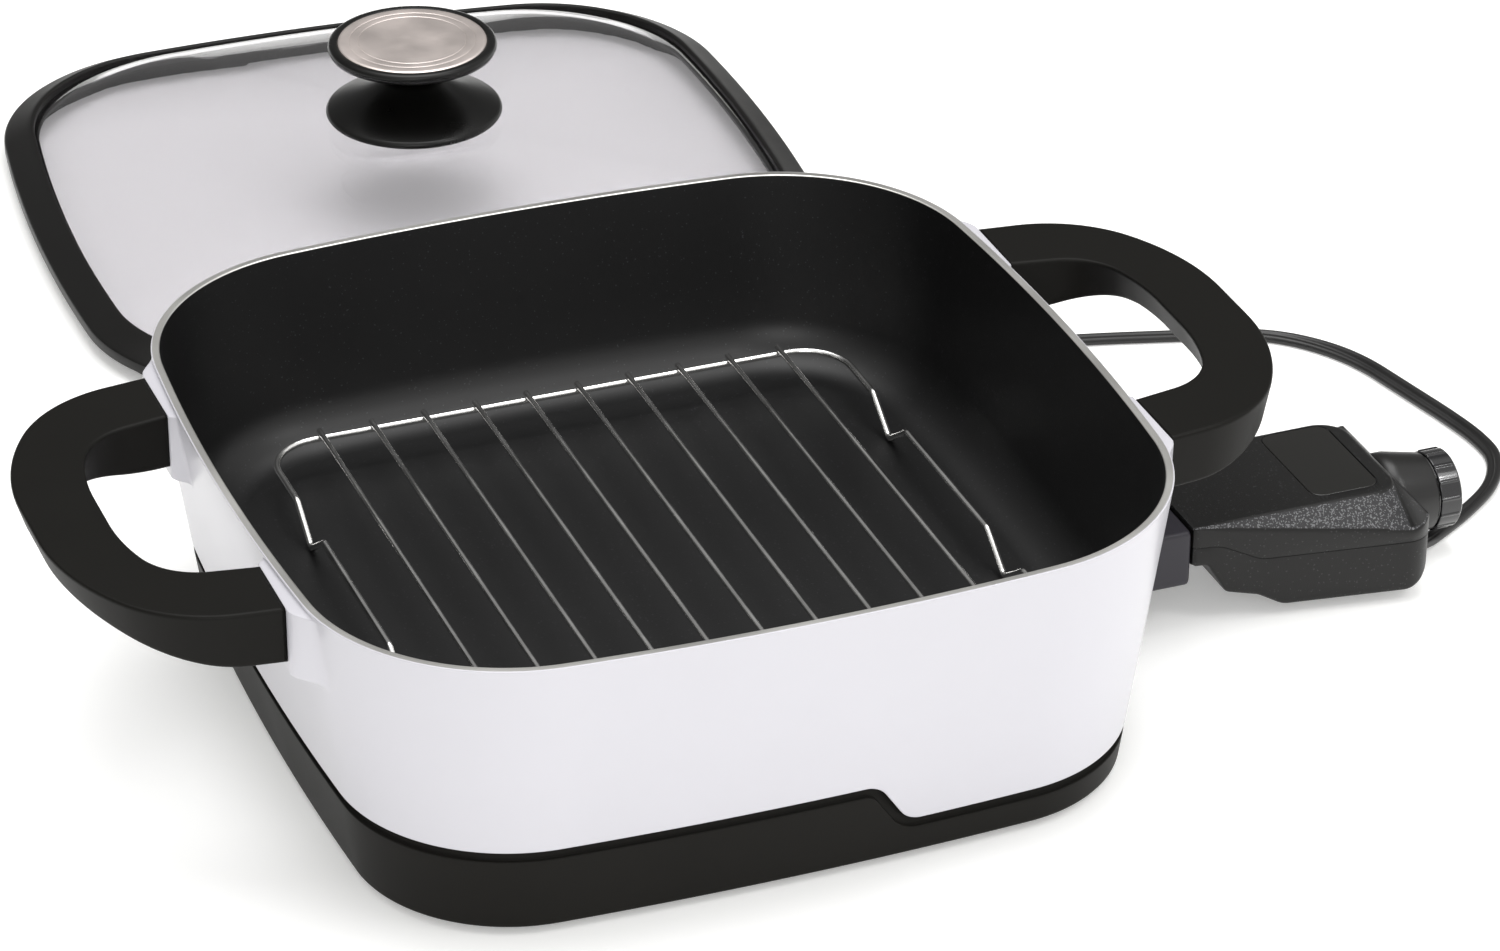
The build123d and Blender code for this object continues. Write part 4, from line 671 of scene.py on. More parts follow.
handle_phenolic = finish(
    "handle_phenolic", HANDLE_COLOUR, 0.44, 0.54, 1700.0, 0.00003, patches=14.0, change=0.12,
    Specular_IOR_Level=0.15)
loop_outer = (HANDLE_ROOT_OUTER, HANDLE_SHOULDER, HANDLE_REACH, HANDLE_OUTER_RADII)
loop_inner = (
    HANDLE_ROOT_INNER, HANDLE_INNER_SHOULDER, HANDLE_INNER_REACH, HANDLE_INNER_RADII)
outer_foot = loop_side(*loop_outer, HANDLE_LEAN[0])
inner_foot = loop_side(*loop_inner, HANDLE_LEAN[1])
rise_start, rise_end, rise = HANDLE_OUTER_RISE
outer_level = HANDLE_BOTTOM + rise * ease(outer_foot[:, 0], rise_start, rise_end)
rise_start, rise_end, rise = HANDLE_INNER_RISE
inner_share = (inner_foot[:, 0] - rise_start) / (rise_end - rise_start)
inner_level = HANDLE_BOTTOM + rise * np.clip(inner_share, 0.0, 1.05) ** 2
handle_corners = np.stack([
    at_level(loop_side(*loop_inner, 0.0), HANDLE_TOP),
    at_level(loop_side(*loop_outer, 0.0), HANDLE_TOP),
    at_level(outer_foot, outer_level),
    at_level(inner_foot, inner_level),
], axis=1)
handle_grid = capped(soft_section(handle_corners, [HANDLE_ROUNDING] * 4))
for name, side in (("handle_right", 1.0), ("handle_left", -1.0)):
    handle = closed_piece(
        name + "_loop", "skillet", handle_grid * (side, 1.0, 1.0),
        handle_phenolic, name)
    drilled(handle, [
        (side * SCREW_HOLE_X, front * SCREW_HOLE_Y, SCREW_HOLE_RADIUS,
         HANDLE_BOTTOM - 0.002, HANDLE_BOTTOM + SCREW_HOLE_DEPTH) for front in (-1, 1)])
show("handle_screws", plated_steel)

# Element and socket guard --------------------------------------------------------------
# A sheathed heating element loops under the pan's floor and ends in two plated pins.
# The guard is a phenolic block screwed to the pan: its open mouth holds the pins and
# takes the control's connector and probe.

GUARD_FACE = 0.1865
GUARD_Y = (-0.036, 0.016)
GUARD_Z = (0.0172, 0.039)
GUARD_BACK = (0.1383, 0.1415)         # how far back the foot and the top go, into the wall
MOUTH_Y = (-0.032, 0.012)
MOUTH_Z = (0.0225, 0.0363)
MOUTH_BACK = 0.1559
GUARD_ROUNDING = 0.0016
MOUTH_ROUNDING = 0.0008
GUARD_COLOUR = (0.0165, 0.0145, 0.0215, 1.0)

guard_phenolic = finish(
    "guard_phenolic", GUARD_COLOUR, 0.38, 0.46, 1700.0, 0.00002, patches=30.0, change=0.08,
    Specular_IOR_Level=0.45)


def yz_box(x_low, x_high, y_range, z_range, inset=0.0):
    """Corners of a rectangle across X, its foot at x_low and its top at x_high."""
    low_y, high_y = y_range[0] + inset, y_range[1] - inset
    low_z, high_z = z_range[0] + inset, z_range[1] - inset
    return [(x_low, low_y, low_z), (x_low, high_y, low_z),
            (x_high, high_y, high_z), (x_high, low_y, high_z)]


guard_sections = [yz_box(*GUARD_BACK, GUARD_Y, GUARD_Z)]
for x in (0.145, GUARD_FACE - 2.0 * GUARD_ROUNDING):
    guard_sections.append(yz_box(x, x, GUARD_Y, GUARD_Z))
for across, along in quarter_turn(GUARD_ROUNDING):
    x = GUARD_FACE - along
    guard_sections.append(yz_box(x, x, GUARD_Y, GUARD_Z, across))
for across, along in reversed(quarter_turn(MOUTH_ROUNDING)):
    x = GUARD_FACE - along
    guard_sections.append(yz_box(x, x, MOUTH_Y, MOUTH_Z, -across))
guard_sections.append(yz_box(MOUTH_BACK, MOUTH_BACK, MOUTH_Y, MOUTH_Z))
guard_radii = np.full((len(guard_sections), 4), 0.0020)
guard_radii[-6:] = 0.0012
guard_grid = soft_section(np.array(guard_sections), guard_radii)
closed_piece(
    "socket_guard_block", "skillet", capped(guard_grid), guard_phenolic,
    "socket_guard")
element_sheath = finish(
    "element_sheath", (0.20, 0.19, 0.185, 1.0), 0.4, 0.6, 900.0, 0.00004, change=0.2,
    Metallic=1.0)
steatite = finish("steatite", (0.80, 0.79, 0.74, 1.0), 0.25, 0.4, 1200.0, 0.00002)
show("heating_element", element_sheath)
show("terminal_pins", plated_steel)
show("terminal_insulators", steatite)
show("guard_screws", plated_steel)

# Rack --------------------------------------------------------------------------------
# Bright plated wire: one wire bent to a closed frame with four V feet, and ten thinner
# straight wires spot-welded across the top of it.

RACK_X = (-0.103, 0.113)
RACK_Y = (-0.0955, 0.1165)
RACK_CORNER = 0.018
RACK_WIRE = 0.0012
RACK_LEVEL = 0.0502
RACK_FOOT_TIP = 0.0400                # centre of the wire at the bottom of a foot
RACK_FOOT_OFFSET = 0.0515
RACK_FOOT_SPAN = 0.0155
RACK_BEND = 0.0035
CROSS_WIRE = 0.0010
CROSS_WIRE_COUNT = 10
CROSS_WIRE_MARGIN = 0.021
CROSS_WIRE_LEVEL = 0.0522
CROSS_WIRE_OVERHANG = 0.0025
CROSS_WIRE_END = ((0.0, 0.0), (0.0001, 0.72), (0.0004, 1.0), (0.0030, 1.0))   # in, radius share
WIRE_COLUMNS = 14
WIRE_COLOUR = (0.86, 0.855, 0.84, 1.0)

plated_wire = finish(
    "plated_wire", WIRE_COLOUR, 0.16, 0.26, 1600.0, 0.000012, patches=60.0, change=0.08,
    Metallic=1.0)


def across_line(ahead):
    """Unit directions across these: one level, the other square to it and to ahead."""
    ahead = unit(ahead)
    level = unit(np.cross(ahead, (0.0, 0.0, 1.0)))
    return level, np.cross(level, ahead)


def tube(line, radius, columns, closed=False):
    """Round sections of a radius along a line: middle + radius (cos a level + sin a above)."""
    if closed:
        level, above = across_line(np.roll(line, -1, axis=0) - np.roll(line, 1, axis=0))
    else:
        level, above = across_line(np.gradient(line, axis=0))
    turn = np.linspace(0.0, 2.0 * math.pi, columns + 1)[:-1, None]
    ring = np.cos(turn) * level[:, None, :] + np.sin(turn) * above[:, None, :]
    return line[:, None, :] + np.asarray(radius).reshape(-1, 1, 1) * ring


def rack_side(x, direction):
    """Corners of a side wire: level, with two V feet bent down to the pan's floor."""
    slope = math.atan2(RACK_LEVEL - RACK_FOOT_TIP, RACK_FOOT_SPAN)
    tip = RACK_FOOT_TIP - RACK_BEND * (1.0 / math.cos(slope) - 1.0)
    middle = sum(RACK_Y) / 2.0
    corners = []
    for foot in (middle - direction * RACK_FOOT_OFFSET, middle + direction * RACK_FOOT_OFFSET):
        corners.append((x, foot - direction * RACK_FOOT_SPAN, RACK_LEVEL))
        corners.append((x, foot, tip))
        corners.append((x, foot + direction * RACK_FOOT_SPAN, RACK_LEVEL))
    return corners


start = (sum(RACK_X) / 2.0, RACK_Y[0], RACK_LEVEL)
frame_corners = [start, (RACK_X[1], RACK_Y[0], RACK_LEVEL), *rack_side(RACK_X[1], 1.0)]
frame_corners += [(RACK_X[1], RACK_Y[1], RACK_LEVEL), (RACK_X[0], RACK_Y[1], RACK_LEVEL)]
frame_corners += [*rack_side(RACK_X[0], -1.0), (RACK_X[0], RACK_Y[0], RACK_LEVEL), start]
frame_bends = [RACK_CORNER] + [RACK_BEND] * 6 + [RACK_CORNER] * 2 + [RACK_BEND] * 6
frame_line = rounded_line(frame_corners, frame_bends + [RACK_CORNER], 9)[:-1]
frame_tube = tube(frame_line, RACK_WIRE, WIRE_COLUMNS, closed=True)
closed_piece(
    "rack_frame_wire", "rack", np.concatenate([frame_tube, frame_tube[:1]]),
    plated_wire, "rack_frame")
from_end, end_share = np.array(CROSS_WIRE_END).T
wire_y = np.concatenate([
    RACK_Y[0] - CROSS_WIRE_OVERHANG + from_end,
    (RACK_Y[1] + CROSS_WIRE_OVERHANG - from_end)[::-1]])
wire_radius = CROSS_WIRE * np.concatenate([end_share, end_share[::-1]])
wires_from, wires_to = RACK_X[0] + CROSS_WIRE_MARGIN, RACK_X[1] - CROSS_WIRE_MARGIN
cross_grids = []
for x in np.linspace(wires_from, wires_to, CROSS_WIRE_COUNT):
    line = np.column_stack([np.full(8, x), wire_y, np.full(8, CROSS_WIRE_LEVEL)])
    cross_grids.append((tube(line, wire_radius, WIRE_COLUMNS), 0, True))
new_piece(
    "rack_wires", "rack", cross_grids, [plated_wire], ["rack_cross_wires"])

# Temperature control -----------------------------------------------------------------
# Two finely textured black shells that meet at a wavy seam, held by screws from below;
# the bevels of the upper one are painted lighter and flecked with bright specks, a painted
# sheen and glitter where light catches them. The top has a flush smoked window over the
# display, and the end carries a tapered collar for the dial.
# Connector, contacts and probe stand out of its nose.

SOCKET_Y = -0.010
NOSE_X = 0.1872
TAIL_X = 0.267
CONTROL_END = 0.277
CONTROL_TOP = 0.040
NOSE_HALF = 0.026
TAIL_HALF = 0.038
CONTROL_CORNER = 0.010
TOP_HALF = (0.0255, 0.0263)           # half width of the flat top at nose and tail
TOP_END = 0.268
BEVEL_EDGE = 0.029                    # lower edge of the bevel at the tail
END_FACET = 0.030
KEEL = ((0.1872, 0.024), (0.193, 0.024), (0.200, 0.0122), (0.212, 0.0095),
        (0.221, 0.0045), (0.277, 0.0045), (0.277, END_FACET))
KEEL_RADII = (0.0025, 0.0035, 0.008, 0.008, 0.012)
SEAM = ((0.180, 0.0317), (0.197, 0.0317), (0.212, 0.0245), (0.290, 0.0245))
SEAM_RADIUS = 0.012
SEAM_GAP = 0.00035
SHELL_WALL = 0.002
BEVEL_ROUNDING = 0.0014
KEEL_ROUNDING = 0.0020
END_ROUNDING = 0.0016
NOSE_ROUNDING = (0.0006, 0.0014)      # inwards, and along
TOP_CORNER = 0.011                    # of the flat top, where bevel and end facet meet
CONTROL_COLOUR = (0.0050, 0.0048, 0.0045, 1.0)
# The bevels' colour is lighter than the housing's: a painted sheen where light catches them.
BEVEL_SHEEN_COLOUR = (0.020, 0.020, 0.0215, 1.0)

control_texture = finish(
    "control_texture", CONTROL_COLOUR, 0.38, 0.46, 2300.0, 0.00005, patches=18.0, change=0.10,
    specks=0.02, speck_colour=(0.030, 0.030, 0.031, 1.0), Specular_IOR_Level=0.33)
# Painted sheen: the bevels get a lighter colour and many bright specks, standing in for light
# glittering on them.
painted_bevel_sheen = finish(
    "painted_bevel_sheen", BEVEL_SHEEN_COLOUR, 0.40, 0.50, 2300.0, 0.00005, patches=18.0,
    change=0.10, specks=0.24, speck_colour=(0.13, 0.13, 0.135, 1.0), Specular_IOR_Level=0.33)
control_smooth = finish(
    "control_smooth", (0.006, 0.0058, 0.0055, 1.0), 0.30, 0.38, 1500.0, 0.00003, change=0.08)

flare = (TAIL_HALF - NOSE_HALF) / (TAIL_X - NOSE_X)
flare_turn = math.atan(flare)
corner_x = CONTROL_END - CONTROL_CORNER
corner_y = NOSE_HALF + flare * (corner_x - NOSE_X) - CONTROL_CORNER / math.cos(flare_turn)
corner_start = corner_x - CONTROL_CORNER * math.sin(flare_turn)
bevel_slope = (CONTROL_TOP - BEVEL_EDGE) / (
    TAIL_HALF - TOP_HALF[0] - (TOP_HALF[1] - TOP_HALF[0]) * (TAIL_X - NOSE_X) / (TOP_END - NOSE_X))
keel_line = rounded_line(KEEL, KEEL_RADII, 24)[:-1]
top_line = rounded_line(
    [(0.18, CONTROL_TOP), (TOP_END, CONTROL_TOP), (CONTROL_END, END_FACET), (CONTROL_END, 0.02)],
    [0.004, END_ROUNDING], 12)[:-1]
seam_line = rounded_line(SEAM, [SEAM_RADIUS] * 2, 16)


def control_sections(x):
    """Half width, floor, bevel foot, bevel head and top of the control at each X. The side
    flares evenly and then turns the plan's corner arc; the bevel is a plane that drops by
    bevel_slope per unit beyond the flat top, clipped to the side and to the top."""
    arc = corner_y + np.sqrt(np.clip(CONTROL_CORNER**2 - (x - corner_x) ** 2, 0.0, None))
    half = np.where(x < corner_start, NOSE_HALF + flare * (x - NOSE_X), arc)
    low = np.interp(x, keel_line[:, 0], keel_line[:, 1])
    top = np.interp(x, top_line[:, 0], top_line[:, 1])
    flat = TOP_HALF[0] + (TOP_HALF[1] - TOP_HALF[0]) * (x - NOSE_X) / (TOP_END - NOSE_X)
    head = np.minimum(flat + (CONTROL_TOP - top) / bevel_slope, half)
    foot = np.minimum(CONTROL_TOP - bevel_slope * (half - flat), top)
    bend = np.clip((x - TOP_END) / TOP_CORNER + 1.0, 0.0, 1.0)
    head = head - TOP_CORNER * (1.0 - np.sqrt(1.0 - bend**2)) * (
        1.0 - 0.75 * ease(x, TOP_END, CONTROL_END))
    return half, low, foot, head, top


def yz_points(x, pairs):
    """Section corners across X from (y, z) arrays, mirrored about the control's middle:
    given from the seam or floor upwards on the right-hand side."""
    right = np.stack([np.stack([x, SOCKET_Y + y, z], axis=-1) for y, z in pairs], axis=1)
    left = np.stack([np.stack([x, SOCKET_Y - y, z], axis=-1) for y, z in pairs[::-1]], axis=1)
    return np.concatenate([right, left], axis=1)


def fanned(grid, steps=4):
    """Closes the last and the first section of a shell with flat fans of smaller ones."""
    shares = np.linspace(1.0, 0.0, steps + 1)[1:, None, None]
    for _ in range(2):
        middle = (grid[-1, 0] + grid[-1, -1]) / 2.0
        grid = np.concatenate([grid, middle + (grid[-1:] - middle) * shares])[::-1]
    return grid


control_x = np.concatenate([
    [NOSE_X, NOSE_X + 0.0002, NOSE_X + 0.0006, NOSE_X + 0.0014],
    np.linspace(0.1895, 0.2225, 56), np.linspace(0.2235, 0.2600, 26),
    np.linspace(0.2605, 0.2655, 11),
    CONTROL_END - 0.011 * (1.0 - np.sin(np.linspace(0.04, math.pi / 2.0, 34)))])
half, low, foot, head, top = control_sections(control_x)
nose_pinch = NOSE_ROUNDING[0] * (1.0 - ease(control_x, NOSE_X, NOSE_X + NOSE_ROUNDING[1]))
half, head, top, foot = half - nose_pinch, head - nose_pinch, top - nose_pinch, foot - nose_pinch
low = np.minimum(low + nose_pinch, top - 0.001)
seam = np.interp(control_x, seam_line[:, 0], seam_line[:, 1])
seam = np.clip(seam, low + 0.0008, top - 0.0008)
upper_corners = yz_points(control_x, [
    (half, seam + SEAM_GAP / 2.0), (half, np.maximum(foot, seam + SEAM_GAP)), (head, top)])
lower_corners = yz_points(control_x, [(half, low), (half, seam - SEAM_GAP / 2.0)])
upper = soft_section(upper_corners, [0.0, BEVEL_ROUNDING, BEVEL_ROUNDING,
                                     BEVEL_ROUNDING, BEVEL_ROUNDING, 0.0])
lower = soft_section(
    np.stack([lower_corners[:, 1], lower_corners[:, 0], lower_corners[:, 3],
              lower_corners[:, 2]], axis=1), [0.0, KEEL_ROUNDING, KEEL_ROUNDING, 0.0])
control_middle = (0.235, SOCKET_Y, 0.026)
shell_top = new_piece(
    "control_shell_top", "control",
    [(fanned(upper), 0, False)], [control_texture],
    ["control_housing_top"], inside=control_middle)
shell_bottom = new_piece(
    "control_shell_bottom", "control",
    [(fanned(lower), 0, False)], [control_texture],
    ["control_housing_bottom"], inside=control_middle)


def thicken(piece, wall):
    """Gives an open shell its wall, inwards."""
    solid = piece.modifiers.new("wall", "SOLIDIFY")
    solid.thickness = wall
    solid.offset = -1.0
    while piece.modifiers[0].name != "wall":
        piece.modifiers.move(len(piece.modifiers) - 1, 0)


thicken(shell_top, SHELL_WALL)
thicken(shell_bottom, SHELL_WALL)

WINDOW_X = (0.236, 0.262)
WINDOW_Y = (-0.031, 0.015)
WINDOW_CORNER = 0.0055
WINDOW_GAP = 0.0003
WINDOW_THICKNESS = 0.0012
WINDOW_COLOUR = (0.0085, 0.0082, 0.0068, 1.0)


def rounded_plate(x_range, y_range, corner, levels, insets):
    """Grid of a plate with round corners: its outline at each level, moved in by inset,
    with a fan at the first and last."""
    rows = []
    for level, inset in zip(levels, insets):
        low_x, high_x = x_range[0] + inset, x_range[1] - inset
        low_y, high_y = y_range[0] + inset, y_range[1] - inset
        rows.append([(low_x, low_y, level), (high_x, low_y, level),
                     (high_x, high_y, level), (low_x, high_y, level)])
    return capped(soft_section(np.array(rows), [corner] * 4, steps=9))


pocket = new_piece("pocket", "control", [(rounded_plate(
    (WINDOW_X[0] - WINDOW_GAP, WINDOW_X[1] + WINDOW_GAP),
    (WINDOW_Y[0] - WINDOW_GAP, WINDOW_Y[1] + WINDOW_GAP), WINDOW_CORNER + WINDOW_GAP,
    (CONTROL_TOP - WINDOW_THICKNESS - 0.0002, CONTROL_TOP + 0.002), (0.0, 0.0)), 0, True)], [])
carve(shell_top, pocket)
shell_normals = np.empty(len(shell_top.data.polygons) * 3)
shell_top.data.polygons.foreach_get("normal", shell_normals)
_, sideways, upwards = shell_normals.reshape(-1, 3).T
# Faces that tilt up and sideways, the bevels, take the painted-sheen finish.
painted_sheen_faces = (np.abs(sideways) > 0.5) & (upwards > 0.55) & (upwards < 0.9)
shell_top.data.materials.append(painted_bevel_sheen)
shell_top.data.polygons.foreach_set("material_index", painted_sheen_faces.astype(np.int32))
smoked_window = finish(
    "smoked_window", WINDOW_COLOUR, 0.14, 0.20, 900.0, 0.000004, change=0.04,
    Coat_Weight=0.3, Coat_Roughness=0.05)
window_levels = CONTROL_TOP - np.array([WINDOW_THICKNESS, 0.0003, 0.0001, 0.0])
window_plate = rounded_plate(
    WINDOW_X, WINDOW_Y, WINDOW_CORNER, window_levels, (0.0, 0.0, 0.0001, 0.0003))
closed_piece(
    "display_window", "control", window_plate, smoked_window, "control_window")

DIAL_CENTRE = (0.0, SOCKET_Y, 0.0201)
COLLAR_RADII = (0.0168, 0.0142)       # at its root and at the dial
COLLAR_END = 0.2907
COLLAR_BORE = 0.0034


def turned(profile, columns, centre, axis, radius_change=0.0):
    """A profile of (place along an axis, radius) turned about that axis through centre;
    radius_change is added by column, as much of it as the profile's third value says."""
    profile = np.asarray(profile, float)
    turn = np.linspace(0.0, 2.0 * math.pi, columns + 1)[:-1]
    change = profile[:, 2:] if profile.shape[1] > 2 else 0.0
    radius = profile[:, 1:2] + change * np.broadcast_to(radius_change, columns)
    parts = [radius * np.cos(turn), radius * np.sin(turn)]
    parts.insert(axis, np.broadcast_to(profile[:, :1], radius.shape))
    return np.stack(parts, axis=-1) + centre


collar_root = CONTROL_END - 0.0070
collar_profile = [
    (collar_root, 0.0), (collar_root, COLLAR_RADII[0]), (CONTROL_END, COLLAR_RADII[0]),
    (COLLAR_END - 0.0010, COLLAR_RADII[1]), (COLLAR_END - 0.0006, COLLAR_RADII[1] - 0.0001),
    (COLLAR_END - 0.0002, COLLAR_RADII[1] - 0.0004), (COLLAR_END, COLLAR_RADII[1] - 0.0010),
    (COLLAR_END, COLLAR_BORE + 0.0004), (COLLAR_END - 0.0004, COLLAR_BORE),
    (COLLAR_END - 0.0019, COLLAR_BORE), (COLLAR_END - 0.0019, 0.0)]
new_piece(
    "dial_collar", "control",
    [(turned(collar_profile, 96, DIAL_CENTRE, axis=0), 0, True)], [control_smooth])

circuit_board = finish("circuit_board", (0.015, 0.11, 0.05, 1.0), 0.35, 0.5, 900.0, 0.00003)
display_glass = finish("display_glass", (0.05, 0.055, 0.05, 1.0), 0.1, 0.2, 900.0, 0.000005)
relay_case = finish("relay_case", (0.02, 0.03, 0.10, 1.0), 0.35, 0.45, 1400.0, 0.00003)
brass = finish("brass", (0.72, 0.55, 0.25, 1.0), 0.25, 0.4, 1500.0, 0.00001, Metallic=1.0)
stainless = finish(
    "stainless", (0.58, 0.57, 0.56, 1.0), 0.2, 0.3, 1800.0, 0.000008, Metallic=1.0)
for node_name, material in {
    "control_display": display_glass, "control_board": circuit_board,
    "control_relay": relay_case, "control_screws": plated_steel,
    "connector_block": guard_phenolic, "socket_contacts": brass, "probe_rod": stainless,
    "dial_encoder": relay_case, "dial_shaft": stainless,
}.items():
    show(node_name, material)

# Dial --------------------------------------------------------------------------------
# A glossy black cup on the encoder's shaft, with fourteen raised ribs round its skirt
# and a bright bevel at its face.

DIAL_START = 0.2910
DIAL_END = 0.2996
DIAL_RADIUS = 0.0143
DIAL_RIB_HEIGHT = 0.0004
DIAL_RIBS = 14
DIAL_COLUMNS = DIAL_RIBS * 20
DIAL_COLOUR = (0.008, 0.008, 0.009, 1.0)

dial_gloss = finish(
    "dial_gloss", DIAL_COLOUR, 0.12, 0.20, 1600.0, 0.000006, patches=90.0, change=0.1,
    Coat_Weight=0.5, Coat_Roughness=0.06)
rib_share = np.arange(DIAL_COLUMNS) % 20 / 20.0
rib_rise = DIAL_RIB_HEIGHT * (ease(rib_share, 0.38, 0.46) - ease(rib_share, 0.54, 0.62))
dial_profile = [
    (DIAL_START + 0.0050, 0.0, 0), (DIAL_START + 0.0050, 0.0118, 0), (DIAL_START, 0.0121, 0),
    (DIAL_START, DIAL_RADIUS - 0.0004, 0.3), (DIAL_START + 0.0002, DIAL_RADIUS - 0.0001, 0.8),
    (DIAL_START + 0.0005, DIAL_RADIUS, 1), (DIAL_END - 0.0016, DIAL_RADIUS, 1),
    (DIAL_END - 0.0011, DIAL_RADIUS, 0.8), (DIAL_END - 0.0009, DIAL_RADIUS, 0.1),
    (DIAL_END - 0.0007, DIAL_RADIUS, 0), (DIAL_END - 0.0001, DIAL_RADIUS - 0.0006, 0),
    (DIAL_END, DIAL_RADIUS - 0.0009, 0), (DIAL_END, DIAL_RADIUS - 0.0016, 0),
    (DIAL_END - 0.0002, DIAL_RADIUS - 0.0022, 0), (DIAL_END - 0.0004, 0.0060, 0),
    (DIAL_END - 0.0004, 0.0, 0)]
closed_piece(
    "dial_cup", "dial",
    turned(dial_profile, DIAL_COLUMNS, DIAL_CENTRE, 0, rib_rise), dial_gloss, "control_dial")

# Mains cord ----------------------------------------------------------------------------
# A flat two-core lead in a satin black jacket with a groove between the cores. It leaves
# the control's end through a tapered sleeve, curls round under the dial and lies on the
# counter behind the pan, where it ends in a moulded plug.

CORD_ROUTE = (
    (0.2790, -0.0240, 0.0066), (0.2888, -0.0175, 0.0027), (0.2974, -0.0114, 0.0016),
    (0.3148, -0.0008, 0.0017), (0.3318, 0.0119, 0.0021), (0.3420, 0.0284, 0.0025),
    (0.3429, 0.0431, 0.0026), (0.3403, 0.0613, 0.0026), (0.3344, 0.0881, 0.0026),
    (0.3289, 0.1149, 0.0024), (0.3171, 0.1357, 0.0020), (0.3007, 0.1496, 0.0017),
    (0.2723, 0.1585, 0.0016), (0.2370, 0.1690, 0.0016), (0.1998, 0.1769, 0.0016),
    (0.1602, 0.1825, 0.0016), (0.1203, 0.1846, 0.0016), (0.0804, 0.1816, 0.0016),
    (0.0435, 0.1735, 0.0016), (0.0097, 0.1638, 0.0016), (-0.0254, 0.1586, 0.0016),
    (-0.0613, 0.1582, 0.0016))
CORD_HALF_WIDTH = 0.0031
CORE_RADIUS = 0.00155
CORD_WEB = 0.00085                    # half thickness between the two cores
CORD_COLUMNS = 32
CORD_TILT = math.radians(32.0)        # at most, where one core rises off the counter
CORD_TILT_START = (0.030, 0.045)      # metres along: level before, tilted after
CORD_CLEARANCE = 0.00004
CORD_COLOUR = (0.0075, 0.0072, 0.0070, 1.0)

cord_jacket = finish(
    "cord_jacket", CORD_COLOUR, 0.34, 0.46, 1300.0, 0.00003, patches=40.0, change=0.12)
route = bpy.data.curves.new("route", "CURVE")
route.dimensions = "3D"
route.resolution_u = 24
spline = route.splines.new("NURBS")
spline.points.add(len(CORD_ROUTE) - 1)
for point, place in zip(spline.points, CORD_ROUTE):
    point.co = (*place, 1.0)
spline.order_u = 3
spline.use_endpoint_u = True
route_object = bpy.data.objects.new("route", route)
bpy.context.scene.collection.objects.link(route_object)
bpy.context.view_layer.update()
graph = bpy.context.evaluated_depsgraph_get()
route_mesh = bpy.data.meshes.new_from_object(route_object.evaluated_get(graph))
cord_line = np.empty(len(route_mesh.vertices) * 3)
route_mesh.vertices.foreach_get("co", cord_line)
cord_line = cord_line.reshape(-1, 3)
bpy.data.objects.remove(route_object)
bpy.data.meshes.remove(route_mesh)
cord_steps = np.linalg.norm(np.diff(cord_line, axis=0), axis=1)
cord_along = np.concatenate([[0.0], np.cumsum(cord_steps)])


def flat_cord(line, tilt):
    """Sections of a two-core lead along a line: half the thickness at a distance u from
    the middle is that of the core's circle, at least the web's, and the section is
    tilted about the line's direction."""
    level, above = across_line(np.gradient(line, axis=0))
    turn = np.linspace(0.0, 2.0 * math.pi, CORD_COLUMNS + 1)[:-1]
    across = CORD_HALF_WIDTH * np.cos(turn)
    core = CORE_RADIUS**2 - (np.abs(across) - CORE_RADIUS) ** 2
    thick = np.maximum(np.sqrt(np.clip(core, 0.0, None)), CORD_WEB * (np.abs(np.sin(turn)) > 0.5))
    thick = thick * np.sign(np.sin(turn))
    lean = tilt[:, None]
    u = across * np.cos(lean) - thick * np.sin(lean)
    v = across * np.sin(lean) + thick * np.cos(lean)
    return line[:, None] + u[..., None] * level[:, None] + v[..., None] * above[:, None]


spare = (cord_line[:, 2] - CORE_RADIUS - CORD_CLEARANCE) / CORE_RADIUS
cord_tilt = np.arcsin(np.clip(spare, 0.0, math.sin(CORD_TILT)))
cord_tilt = cord_tilt * ease(cord_along, *CORD_TILT_START)
cord_grid = flat_cord(cord_line, cord_tilt)
cord = closed_piece(
    "mains_cord", "control", capped(cord_grid), cord_jacket, "power_cord")

RELIEF_LENGTH = 0.024
RELIEF_HALVES = ((0.0050, 0.0030), (0.0040, 0.0023))   # half width and height, root and tip
RELIEF_RING = 0.0004                  # depth of its bend-relief grooves
PLUG_LENGTH = 0.024
PLUG_NECK_LENGTH = 0.008
PLUG_HALVES = ((0.0045, 0.00155), (0.0105, 0.0065), (0.0110, 0.0070))
PLUG_LIFT = 0.00545

cord_moulding = finish(
    "cord_moulding", (0.0085, 0.0080, 0.0078, 1.0), 0.4, 0.5, 1500.0, 0.00003, change=0.1)


def along_box(start, ahead, stations):
    """Soft rectangular sections along a direction: each station is (distance, half width,
    half height, lift of its middle)."""
    side, above = across_line(ahead)
    rows = []
    for distance, wide, high, lift in stations:
        middle = start + ahead * distance + above * lift
        rows.append([middle - side * wide - above * high, middle + side * wide - above * high,
                     middle + side * wide + above * high, middle - side * wide + above * high])
    return capped(soft_section(np.array(rows), [0.0018] * 4))


